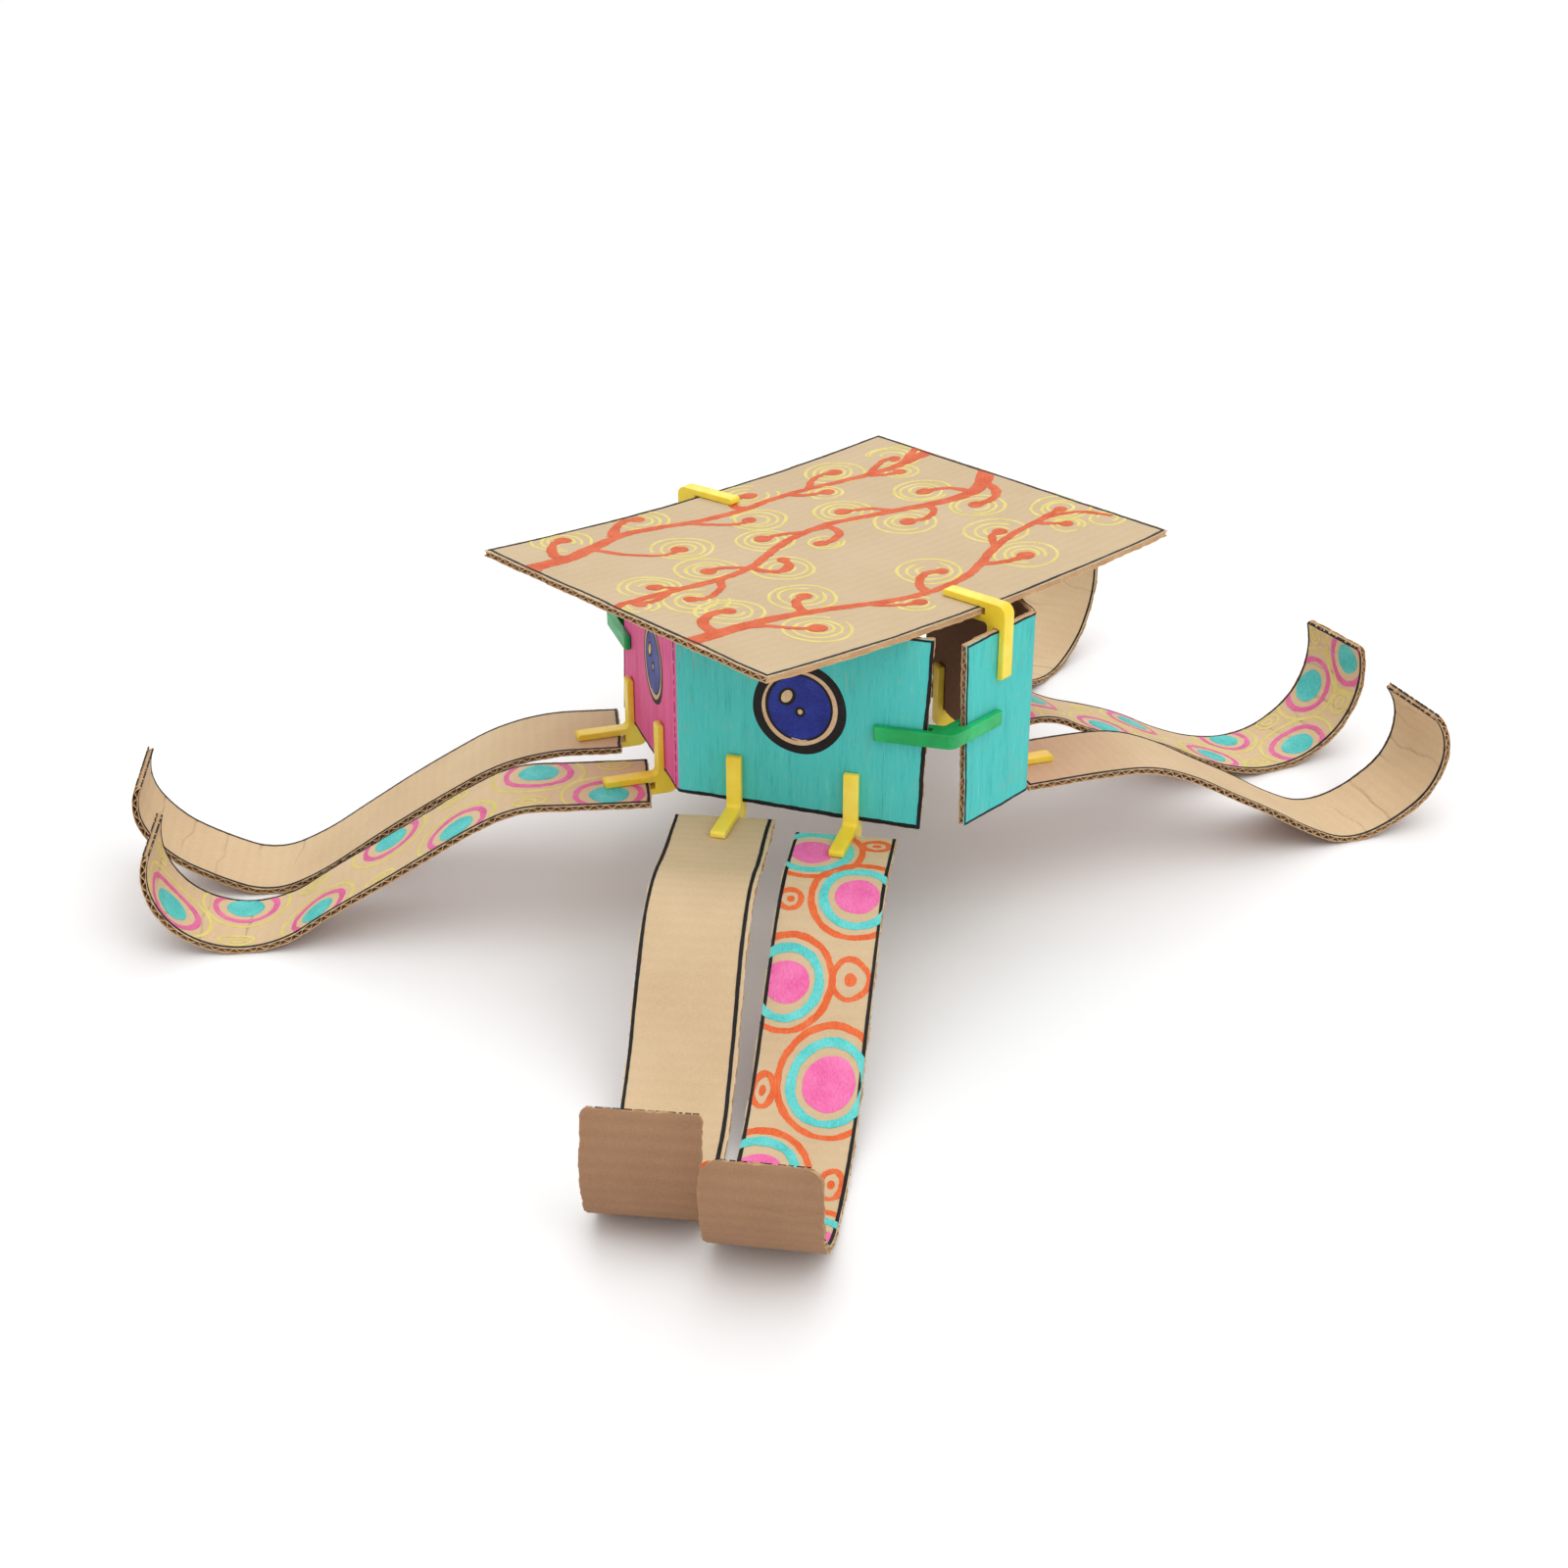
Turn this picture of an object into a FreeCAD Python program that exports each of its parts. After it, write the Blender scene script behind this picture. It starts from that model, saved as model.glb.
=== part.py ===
import FreeCAD, Part
import math
import os
from FreeCAD import Vector as V

# Clip-together corrugated-cardboard octopus.
# A bowed roof sheet stands on a six-sided head of three folded sheets, and eight
# curved strips leave the bottom edge of the head as tentacles. Push-on plastic
# clips of one constant section hold everything: four prongs make two slots, and
# a board edge is pushed into each slot.
# Millimetres, +Z up, z = 0 is the surface that the tentacles stand on. The head's
# front wall faces -Y. Plan positions below are given from the point under the
# middle of the roof, and at the end everything moves so that the origin is the
# middle of the whole object's footprint.

os.makedirs("parts", exist_ok=True)

# ---------------------------------------------------------------- board
BOARD = 3.2            # thickness of the corrugated board

# ---------------------------------------------------------------- roof
ROOF_LONG = 280.0
ROOF_SHORT = 215.0
ROOF_TURN = 42.2       # degrees from +X to the roof's long side
ROOF_Z = 188.0         # top face at the four corners
ROOF_SAG = 5.0         # the middle of the long sides hangs this much lower

# ---------------------------------------------------------------- head walls
# Plan polygon of the outer faces, walked anticlockwise seen from above.
FOLD_1 = (-76.8, -76.2)   # fold between the left and the front panel
DIR_FRONT = -15.5         # degrees
DIR_SIDE = 48.5
DIR_RIGHT = 109.0
DIR_BACK = 171.0
DIR_BACK_LEFT = 231.5
DIR_LEFT = 288.4
LEN_FRONT = 124.5
LEN_SIDE = 54.0
LEN_LEFT = 107.0
LEN_BACK_LEFT = 56.0
CORNER_GAP = 13.5         # from each free wall end to the corner where the walls would meet
LEFT_GAP = 16.0           # the same, at the left panel's free end
WALL_TOP_FRONT = 179.5    # front and left sheet, just under the roof
WALL_TOP = 174.4          # the other two sheets
WALL_BOTTOM = 76.0
FRONT_BOTTOM_LEFT = 82.0  # the front sheet's lower edge runs down from here
FRONT_BOTTOM_RIGHT = 77.8
FRONT_LEAN = 4.5          # the front panel's free edge leans out this much at the top
SIDE_LEAN = 3.5           # the side panel's free edge leans out this much at the top
LEFT_LEAN = 11.0          # the left panel's free edge leans in this much at the top
FOLD_R = 2.5              # outer radius of a fold

# ---------------------------------------------------------------- clips
CLIP_W = 7.5              # width of every clip
SLOT = 3.8                # slot width: board plus 0.3 each side
PRONG = 3.4               # prong thickness
SEAT = 7.0                # from the crossing of the slot planes to a slot's bottom
REACH = 33.0              # from the crossing to the prong tips
GREEN_SEAT = 8.2          # slot bottom of the corner clip
GREEN_REACH = 36.5
GREEN_Z = 128.5           # middle height of the three corner clips

# ---------------------------------------------------------------- tentacles
STRIP_W = 51.0
STRIP_GAP = 0.8           # free space between the strip's end and the slot bottom
# name: (wall, place along the wall, direction in degrees, offset of the strip's
#        middle from the clip along the strip's width, length of the flat end that the
#        clip holds, strip length, turn in degrees of each of ten equal arcs after it)
TENTACLES = {
    "front_plain": ("front", 30.2, 263.3, -3.4, 28.0, 322.0,
                    (8.3, -25.4, -24.8, -8.1, 14.0, 22.9, 13.3, 37.1, 54.6, 28.4)),
    "front_painted": ("front", 90.0, 261.4, -1.0, 34.0, 322.0,
                      (-26.1, -7.6, -1.4, 3.7, 14.4, 15.6, 9.1, 25.5, 37.2, 48.6)),
    "left_plain": ("left", 20.4, 186.4, -6.5, 24.5, 308.5,
                   (-13.6, -14.5, -2.4, -1.8, -1.0, 11.7, 45.5, 8.3, 26.5, 58.4)),
    "left_painted": ("left", 79.4, 185.4, 0.5, 26.5, 309.5,
                     (1.0, -26.6, -6.3, 1.1, 1.5, -4.9, 27.8, 35.5, 39.3, 42.9)),
    "right_plain": ("right", 39.5, 20.2, -0.4, 30.5, 320.5,
                    (-3.2, -18.8, -8.8, 2.2, -3.8, 7.5, 40.4, 20.4, 46.0, 52.8)),
    "right_painted": ("right", 107.5, 26.8, 0.0, 33.0, 323.0,
                      (-31.2, 12.5, -4.1, -7.7, 7.2, 11.3, 21.9, 28.7, 37.9, 36.2)),
    "back_plain": ("back", 21.8, 58.1, 0.0, 25.0, 315.0,
                   (-15.7, -7.8, -4.5, -1.5, 3.3, 10.8, 20.4, 24.6, 31.1, 41.6)),
    "back_painted": ("back", 86.0, 99.0, 0.0, 28.0, 318.0,
                     (-14.5, -9.8, -5.5, -1.5, 3.3, 10.8, 21.4, 24.6, 33.1, 39.6)),
}


def unit(deg):
    return V(math.cos(math.radians(deg)), math.sin(math.radians(deg)), 0)


def left_of(d):
    return V(-d.y, d.x, 0)


made = []  # (name, shape) of every node, in plan positions from the roof's middle


def export(shape, name):
    assert shape.isValid(), name
    made.append((name, shape))
    return shape


# ---------------------------------------------------------------- head plan
dF, dS, dR = unit(DIR_FRONT), unit(DIR_SIDE), unit(DIR_RIGHT)
dB, dBL, dL = unit(DIR_BACK), unit(DIR_BACK_LEFT), unit(DIR_LEFT)
P1 = V(FOLD_1[0], FOLD_1[1], 0)
P2 = P1 + dF * LEN_FRONT
C1 = P2 + dF * CORNER_GAP
P3 = C1 + dS * CORNER_GAP
P4 = P3 + dS * LEN_SIDE
P0 = P1 - dL * LEN_LEFT
C0 = P0 - dL * LEFT_GAP
P8 = C0 - dBL * CORNER_GAP
P7 = P8 - dBL * LEN_BACK_LEFT
# the corner between the right and the back wall closes the polygon
w = P7 - P4
det = dR.x * dB.y - dR.y * dB.x
t_right = (w.x * dB.y - w.y * dB.x) / det
C2 = P4 + dR * t_right
P5 = C2 - dR * CORNER_GAP
P6 = C2 + dB * CORNER_GAP
LEN_RIGHT = t_right - CORNER_GAP
LEN_BACK = (P7 - P6).Length
print("right wall %.1f, back wall %.1f" % (LEN_RIGHT, LEN_BACK))

WALLS = {  # start, direction; the outside is on the right-hand side of the direction
    "left": (P0, dL), "front": (P1, dF), "side": (P3, dS), "right": (P4, dR),
    "back": (P6, dB), "back_left": (P7, dBL),
}


def panel(start, d, outline):
    """A flat panel whose outer face holds outline, a list of (along, z)."""
    n = left_of(d)  # towards the inside of the head
    pts = [start + d * u + V(0, 0, z) for u, z in outline]
    face = Part.Face(Part.makePolygon(pts + [pts[0]]))
    return face.extrude(n * BOARD)


def folded(start, d1, len1, d2, out1, out2, name):
    """Two panels that meet at one rounded fold."""
    fold = start + d1 * len1
    a = panel(start, d1, out1)
    b = panel(fold, d2, out2)
    # the mitre wedge between the two panels' square ends lies inside both, so the
    # fusion of the panels is already closed on the outside of the corner
    s = a.fuse(b).removeSplitter()
    # round the outer edge of the fold
    picks = []
    for e in s.Edges:
        p, q = e.Vertexes[0].Point, e.Vertexes[-1].Point
        if abs(p.x - q.x) < 1e-6 and abs(p.y - q.y) < 1e-6 and e.Length > 50:
            if (V(p.x, p.y, 0) - V(fold.x, fold.y, 0)).Length < 1e-4:
                picks.append(e)
    s = s.makeFillet(FOLD_R, picks)
    return export(s.Solids[0] if len(s.Solids) == 1 else s, name)


zt, zb = WALL_TOP_FRONT, WALL_BOTTOM
head_front = folded(
    P0, dL, LEN_LEFT, dF,
    [(0, FRONT_BOTTOM_LEFT), (LEN_LEFT, FRONT_BOTTOM_LEFT), (LEN_LEFT, zt), (LEFT_LEAN, zt)],
    [(0, FRONT_BOTTOM_LEFT), (LEN_FRONT, FRONT_BOTTOM_RIGHT), (LEN_FRONT + FRONT_LEAN, zt), (0, zt)],
    "head_front_sheet")
head_right = folded(
    P3, dS, LEN_SIDE, dR,
    [(0, zb), (LEN_SIDE, zb), (LEN_SIDE, WALL_TOP), (-SIDE_LEAN, WALL_TOP)],
    [(0, zb), (LEN_RIGHT, zb), (LEN_RIGHT, WALL_TOP), (0, WALL_TOP)],
    "head_right_sheet")
head_back = folded(
    P6, dB, LEN_BACK, dBL,
    [(0, zb), (LEN_BACK, zb), (LEN_BACK, WALL_TOP), (0, WALL_TOP)],
    [(0, zb), (LEN_BACK_LEFT, zb), (LEN_BACK_LEFT, WALL_TOP), (0, WALL_TOP)],
    "head_back_sheet")

# ---------------------------------------------------------------- roof
half = ROOF_LONG / 2
bow_r = (half * half + ROOF_SAG * ROOF_SAG) / (2 * ROOF_SAG)  # radius of the top face
rt = bow_r + BOARD                                            # radius of the underside
# section in the X-Z plane, bow centre above at x = 0
cz = ROOF_Z - ROOF_SAG + bow_r
ang = math.asin(half / bow_r)


def bow_pt(r, a):
    return V(r * math.sin(a), 0, cz - r * math.cos(a))


sec = Part.Wire([
    Part.Arc(bow_pt(bow_r, -ang), bow_pt(bow_r, 0), bow_pt(bow_r, ang)).toShape(),
    Part.LineSegment(bow_pt(bow_r, ang), bow_pt(rt, ang)).toShape(),
    Part.Arc(bow_pt(rt, ang), bow_pt(rt, 0), bow_pt(rt, -ang)).toShape(),
    Part.LineSegment(bow_pt(rt, -ang), bow_pt(bow_r, -ang)).toShape(),
])
roof = Part.Face(sec).extrude(V(0, ROOF_SHORT, 0))
roof.translate(V(0, -ROOF_SHORT / 2, 0))
roof.rotate(V(0, 0, 0), V(0, 0, 1), ROOF_TURN)
roof = export(roof, "roof_panel")


def roof_mid_z(p):
    """Height of the roof board's middle plane above plan point p."""
    u = unit(ROOF_TURN)
    a = p.x * u.x + p.y * u.y
    return cz - math.sqrt((bow_r + BOARD / 2) ** 2 - a * a)


# ---------------------------------------------------------------- clips
def clip_section(turn, seat, reach):
    """Plane section of a clip with its slot planes crossing at the origin.
    The first slot opens along +X, the second along the direction at 180 - turn degrees."""
    h = SLOT / 2 + PRONG

    def arm(deg, x0, x1, w):
        f = Part.Face(Part.makePolygon([V(x0, -w, 0), V(x1, -w, 0), V(x1, w, 0), V(x0, w, 0), V(x0, -w, 0)]))
        f.rotate(V(0, 0, 0), V(0, 0, 1), deg)
        return f

    body = arm(0, 0, reach, h).fuse(arm(180 - turn, 0, reach, h))
    # the outside corner is filled out to a rounded bend
    body = body.fuse(Part.Face(Part.Wire(Part.makeCircle(h, V(0, 0, 0)))))
    for deg in (0, 180 - turn):
        body = body.cut(arm(deg, seat, reach + 5, SLOT / 2))
    return body.removeSplitter()


def clip_solid(turn, seat, reach):
    """The clip: its section runs from z = -CLIP_W/2 to CLIP_W/2, prong tips rounded."""
    sec = clip_section(turn, seat, reach)
    s = sec.extrude(V(0, 0, CLIP_W))
    s.translate(V(0, 0, -CLIP_W / 2))
    # lead-in: round the long edges of the four prong tips
    picks = []
    for e in s.Edges:
        p, q = e.Vertexes[0].Point, e.Vertexes[-1].Point
        if abs(p.x - q.x) > 1e-6 or abs(p.y - q.y) > 1e-6 or e.Length < CLIP_W - 0.1:
            continue
        for deg in (0, 180 - turn):
            d = unit(deg)
            if abs(p.x * d.x + p.y * d.y - reach) < 1e-4:
                picks.append(e)
                break
    s = s.makeFillet(1.2, picks)
    # small rounds along the two faces would only hide under the boards, so the
    # section edges stay crisp here
    return s.Solids[0]


def place(solid, origin, xdir, ydir):
    """Put a solid modelled in X-Y with thickness along Z so that its X and Y follow xdir and ydir."""
    z = xdir.cross(ydir)
    m = FreeCAD.Matrix(xdir.x, ydir.x, z.x, origin.x,
                       xdir.y, ydir.y, z.y, origin.y,
                       xdir.z, ydir.z, z.z, origin.z,
                       0, 0, 0, 1)
    return solid.transformed(m)


def mid_corner(c, d_in, d_out):
    """Crossing of the middle planes of the two walls whose outer faces meet at c."""
    a, b = left_of(d_in) * (BOARD / 2), left_of(d_out) * (BOARD / 2)
    # solve c + a + d_in*t = c + b + d_out*u
    det = -d_in.x * d_out.y + d_in.y * d_out.x
    r = b - a
    t = (-r.x * d_out.y + r.y * d_out.x) / det
    return c + a + d_in * t


def corner_clip(c, d_in, d_out, name):
    """A corner clip springs open or shut a few degrees to the angle of its corner."""
    turn = math.degrees(math.acos(d_in.dot(d_out)))
    green = clip_solid(turn, GREEN_SEAT, GREEN_REACH)
    o = mid_corner(c, d_in, d_out)
    # first arm runs back along the wall that ends here, second along the next wall
    x = -d_in
    z = V(0, 0, -1)
    y = z.cross(x)
    s = place(green, V(o.x, o.y, GREEN_Z), x, y)
    return export(s, name)


corner_clip(C1, dF, dS, "joint_clip_front")
corner_clip(C2, dR, dB, "joint_clip_back")
corner_clip(C0, dBL, dL, "joint_clip_left")

yellow = clip_solid(90.0, SEAT, REACH)


def wall_point(wall, along):
    s, d = WALLS[wall]
    return s + d * along + left_of(d) * (BOARD / 2)


def out_of(wall):
    return left_of(WALLS[wall][1]) * -1


def wall_bottom(wall, along):
    if wall == "left":
        return FRONT_BOTTOM_LEFT
    if wall == "front":  # the lowest point of the slanting edge that the clip's width covers
        slope = (FRONT_BOTTOM_RIGHT - FRONT_BOTTOM_LEFT) / LEN_FRONT
        return FRONT_BOTTOM_LEFT + slope * (along + CLIP_W / 2)
    return WALL_BOTTOM


# roof clips: one slot looks down over the wall's top edge, the other looks inwards
# along the roof board
ROOF_CLIPS = {"roof_clip_front": ("side", 25.5), "roof_clip_back": ("back_left", 7.0)}
for name, (wall, along) in ROOF_CLIPS.items():
    o = wall_point(wall, along)
    inward = out_of(wall) * -1
    zc = WALL_TOP + SEAT
    print(name, "roof middle plane at the clip", round(roof_mid_z(o + inward * 20), 2), "clip", zc)
    s = place(yellow, V(o.x, o.y, zc), inward, V(0, 0, -1))
    export(s, name)


# ---------------------------------------------------------------- tentacles
def strip_path(flat, length, turns):
    """Points of the top face in its own vertical plane: (distance, height, slope)."""
    x, z, a = flat, 0.0, 0.0
    pts = [(0.0, 0.0, 0.0), (x, z, a)]
    seg = (length - flat) / len(turns)
    arcs = []
    for t in turns:
        t = math.radians(t)
        r = seg / t
        x1 = x + r * (math.sin(a + t) - math.sin(a))
        z1 = z - r * (math.cos(a + t) - math.cos(a))
        arcs.append((x, z, a, t, r))
        x, z, a = x1, z1, a + t
        pts.append((x, z, a))
    return pts, arcs


def off(x, z, a, h):
    return V(x + h * math.sin(a), 0, z - h * math.cos(a))


def strip_solid(flat, length, turns):
    """Strip lying along +X from x = 0, top face at z = 0 at the clip, width along Y."""
    pts, arcs = strip_path(flat, length, turns)
    top, bot = [], []
    for h, out in ((0.0, top), (BOARD, bot)):
        out.append(Part.LineSegment(off(*pts[0], h), off(*pts[1], h)).toShape())
        for i, (x, z, a, t, r) in enumerate(arcs):
            am = a + t / 2
            xm = x + r * (math.sin(am) - math.sin(a))
            zm = z - r * (math.cos(am) - math.cos(a))
            out.append(Part.Arc(off(x, z, a, h), off(xm, zm, am, h), off(*pts[i + 2], h)).toShape())
    ends = [Part.LineSegment(off(*pts[0], 0), off(*pts[0], BOARD)).toShape(),
            Part.LineSegment(off(*pts[-1], 0), off(*pts[-1], BOARD)).toShape()]
    wire = Part.Wire(Part.__sortEdges__(top + bot + ends))
    s = Part.Face(wire).extrude(V(0, STRIP_W, 0))
    s.translate(V(0, -STRIP_W / 2, 0))
    return s


def lowest(flat, length, turns):
    pts, arcs = strip_path(flat, length, turns)
    low = 0.0
    for x, z, a, t, r in arcs:
        for k in range(21):
            b = a + t * k / 20
            low = min(low, z - r * (math.cos(b) - math.cos(a)) - BOARD * math.cos(b))
    return low


info = {}
for name, (wall, along, deg, side, flat, length, turns) in TENTACLES.items():
    zc = wall_bottom(wall, along) - SEAT        # middle plane of the strip at the clip
    o = wall_point(wall, along)
    outward = out_of(wall)
    clip = place(yellow, V(o.x, o.y, zc), outward, V(0, 0, 1))
    export(clip, "tentacle_clip_" + name)
    # the second arc is adjusted so that the strip's lowest point just touches z = 0
    top = zc + BOARD / 2
    lo, hi = -25.3, 24.1
    for _ in range(50):
        m = (lo + hi) / 2
        tt = (turns[0], turns[1] + m) + turns[2:]
        if top + lowest(flat, length, tt) > 0:
            hi = m
        else:
            lo = m
    tt = (turns[0], turns[1] + hi) + turns[2:]
    s = strip_solid(flat, length, tt)
    # the strip's end edge stands STRIP_GAP clear of the slot bottom at the clip
    swing = deg - math.degrees(math.atan2(outward.y, outward.x))
    swing = (swing + 180) % 360 - 180
    clear = STRIP_GAP + CLIP_W / 2 * abs(math.tan(math.radians(swing)))
    e = o + outward * (SEAT + clear)             # point on the end edge, in the clip's middle
    d = unit(deg)
    start = e + left_of(d) * side
    s.rotate(V(0, 0, 0), V(0, 0, 1), deg)
    s.translate(V(start.x, start.y, top))
    export(s, "tentacle_" + name)
    pivot = o + outward * (SEAT + clear + 4.0)
    info[name] = (hi, swing, V(start.x, start.y, top), V(pivot.x, pivot.y, zc), outward)

# ---------------------------------------------------------------- footprint and files
box = FreeCAD.BoundBox()
for name, shape in made:
    # a triangulated copy measures curved faces closely
    m = shape.copy()
    m.tessellate(0.01)
    box.add(m.optimalBoundingBox(False, False))
SHIFT = (-box.Center.x, -box.Center.y)
for name, shape in made:
    moved = shape.copy()
    moved.translate(V(SHIFT[0], SHIFT[1], 0))
    moved.exportStep("parts/" + name + ".step")
    b = moved.optimalBoundingBox(False, False)
    print("%-28s vol %9.1f  x %7.2f %7.2f  y %7.2f %7.2f  z %6.2f %6.2f" % (
        name, moved.Volume, b.XMin, b.XMax, b.YMin, b.YMax, b.ZMin, b.ZMax))
print("SHIFT", SHIFT, "size", box.XLength, box.YLength, box.ZLength)
for k, (hi, swing, start, pivot, outward) in info.items():
    print("INFO", k, round(hi, 3), round(swing, 2),
          round(start.x + SHIFT[0], 3), round(start.y + SHIFT[1], 3), round(start.z, 3),
          round(pivot.x + SHIFT[0], 3), round(pivot.y + SHIFT[1], 3), round(pivot.z, 3),
          round(outward.x, 6), round(outward.y, 6))
for k, v in (("P0", P0), ("P1", P1), ("P2", P2), ("C1", C1), ("P3", P3), ("P4", P4), ("P5", P5), ("C2", C2),
             ("P6", P6), ("P7", P7), ("P8", P8), ("C0", C0)):
    print(k, round(v.x + SHIFT[0], 3), round(v.y + SHIFT[1], 3))
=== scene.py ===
import math
import random

import bmesh
import bpy
import numpy as np
from mathutils import Matrix, Vector


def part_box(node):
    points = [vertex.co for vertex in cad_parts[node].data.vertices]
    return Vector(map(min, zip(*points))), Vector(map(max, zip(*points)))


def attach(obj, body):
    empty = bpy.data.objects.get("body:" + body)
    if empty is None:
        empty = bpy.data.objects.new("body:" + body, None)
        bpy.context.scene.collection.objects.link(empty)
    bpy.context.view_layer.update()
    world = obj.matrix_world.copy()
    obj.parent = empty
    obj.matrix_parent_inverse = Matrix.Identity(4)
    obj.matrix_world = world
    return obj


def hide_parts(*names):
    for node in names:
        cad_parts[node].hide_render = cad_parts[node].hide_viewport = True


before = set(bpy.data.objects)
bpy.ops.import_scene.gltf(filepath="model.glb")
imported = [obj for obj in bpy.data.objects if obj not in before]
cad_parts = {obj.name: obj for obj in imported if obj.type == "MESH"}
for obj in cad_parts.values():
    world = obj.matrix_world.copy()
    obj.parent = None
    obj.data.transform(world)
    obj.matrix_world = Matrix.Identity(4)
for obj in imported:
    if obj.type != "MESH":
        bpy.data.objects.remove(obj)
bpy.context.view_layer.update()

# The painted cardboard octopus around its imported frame. Lengths below are in
# millimetres and are turned into metres when a mesh is made.
MM = 0.001
lo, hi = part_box("roof_panel")
ORIGIN = np.array([(lo.x + hi.x) / 2 / MM, (lo.y + hi.y) / 2 / MM, 0.0])  # under the roof's middle
ORIGIN = np.round(ORIGIN, 3)

BOARD, PITCH, LINER = 3.2, 6.2, 0.42
ROOF_LONG, ROOF_SHORT, ROOF_TURN, ROOF_Z, ROOF_SAG = 280.0, 215.0, 42.2, 188.0, 5.0
FOLD_1 = (-76.8, -76.2)
DIR_FRONT, DIR_SIDE, DIR_RIGHT, DIR_BACK, DIR_BACK_LEFT, DIR_LEFT = -15.5, 48.5, 109.0, 171.0, 231.5, 288.4
LEN_FRONT, LEN_SIDE, LEN_LEFT, LEN_BACK_LEFT = 124.5, 54.0, 107.0, 56.0
CORNER_GAP, LEFT_GAP = 13.5, 16.0
WALL_TOP_FRONT, WALL_TOP, WALL_BOTTOM = 179.5, 174.4, 76.0
FRONT_BOTTOM_LEFT, FRONT_BOTTOM_RIGHT = 82.0, 77.8
FRONT_LEAN, SIDE_LEAN, LEFT_LEAN = 4.5, 3.5, 11.0
CLIP_W, SLOT, PRONG, SEAT, REACH = 7.5, 3.8, 3.4, 7.0, 33.0
GREEN_SEAT, GREEN_REACH, GREEN_Z = 8.2, 36.5, 128.5
STRIP_W = 51.0

# strip: wall, place along it, direction, flat end, length, start of the top face, ten turns
STRIPS = {
    "front_plain": ("front", 30.2, 263.3, 28.0, 322.0, (-52.887, -90.408, 75.455), (8.3, -25.916, -24.8, -8.1, 14.0, 22.9, 13.3, 37.1, 54.6, 28.4)),
    "front_painted": ("front", 90.0, 261.4, 34.0, 322.0, (7.160, -106.514, 73.437), (-26.1, -8.063, -1.4, 3.7, 14.4, 15.6, 9.1, 25.5, 37.2, 48.6)),
    "left_plain": ("left", 20.4, 186.4, 24.5, 308.5, (-111.499, 10.224, 76.600), (-13.6, -14.644, -2.4, -1.8, -1.0, 11.7, 45.5, 8.3, 26.5, 58.4)),
    "left_painted": ("left", 79.4, 185.4, 26.5, 309.5, (-92.170, -52.739, 76.600), (1.0, -26.713, -6.3, 1.1, 1.5, -4.9, 27.8, 35.5, 39.3, 42.9)),
    "right_plain": ("right", 39.5, 20.2, 30.5, 320.5, (94.122, -23.508, 70.600), (-3.2, -19.066, -8.8, 2.2, -3.8, 7.5, 40.4, 20.4, 46.0, 52.8)),
    "right_painted": ("right", 107.5, 26.8, 33.0, 323.0, (72.257, 41.305, 70.600), (-31.2, 12.217, -4.1, -7.7, 7.2, 11.3, 21.9, 28.7, 37.9, 36.2)),
    "back_plain": ("back", 21.8, 58.1, 25.0, 315.0, (19.921, 88.168, 70.600), (-15.7, -7.979, -4.5, -1.5, 3.3, 10.8, 20.4, 24.6, 31.1, 41.6)),
    "back_painted": ("back", 86.0, 99.0, 28.0, 318.0, (-43.546, 97.850, 70.600), (-14.5, -8.671, -5.5, -1.5, 3.3, 10.8, 21.4, 24.6, 33.1, 39.6)),
}


def unit(deg):
    return np.array([math.cos(math.radians(deg)), math.sin(math.radians(deg)), 0.0])


def left_of(d):
    return np.array([-d[1], d[0], 0.0])


UP = np.array([0.0, 0.0, 1.0])

# ------------------------------------------------------------ head plan
dF, dS, dR, dB, dBL, dL = (unit(a) for a in (DIR_FRONT, DIR_SIDE, DIR_RIGHT, DIR_BACK, DIR_BACK_LEFT, DIR_LEFT))
P1 = np.array([FOLD_1[0], FOLD_1[1], 0.0])
P2 = P1 + dF * LEN_FRONT
C1 = P2 + dF * CORNER_GAP
P3 = C1 + dS * CORNER_GAP
P4 = P3 + dS * LEN_SIDE
P0 = P1 - dL * LEN_LEFT
C0 = P0 - dL * LEFT_GAP
P8 = C0 - dBL * CORNER_GAP
P7 = P8 - dBL * LEN_BACK_LEFT
w_ = P7 - P4
t_ = (w_[0] * dB[1] - w_[1] * dB[0]) / (dR[0] * dB[1] - dR[1] * dB[0])
C2 = P4 + dR * t_
P5 = C2 - dR * CORNER_GAP
P6 = C2 + dB * CORNER_GAP
LEN_RIGHT = t_ - CORNER_GAP
LEN_BACK = float(np.linalg.norm(P7 - P6))
WALLS = {"left": (P0, dL), "front": (P1, dF), "side": (P3, dS), "right": (P4, dR), "back": (P6, dB), "back_left": (P7, dBL)}


# ------------------------------------------------------------ hand-made unevenness
def wobble(seed, parts):
    """A smooth repeatable function of length: a sum of sines, parts = [(wavelength, size), ...]."""
    r = random.Random(seed)
    terms = [(2 * math.pi / (lam * r.uniform(0.85, 1.15)), amp * r.uniform(0.7, 1.2), r.uniform(0, 6.28)) for lam, amp in parts]

    def f(x):
        x = np.asarray(x, float)
        out = np.zeros_like(x)
        for k, a, p in terms:
            out = out + a * np.sin(k * x + p)
        return out
    return f


def tear(seed):
    """Fine ragged edge of cut board."""
    return wobble(seed, [(31, 0.22), (13, 0.16), (6.1, 0.13), (3.3, 0.10), (2.1, 0.08)])


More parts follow.
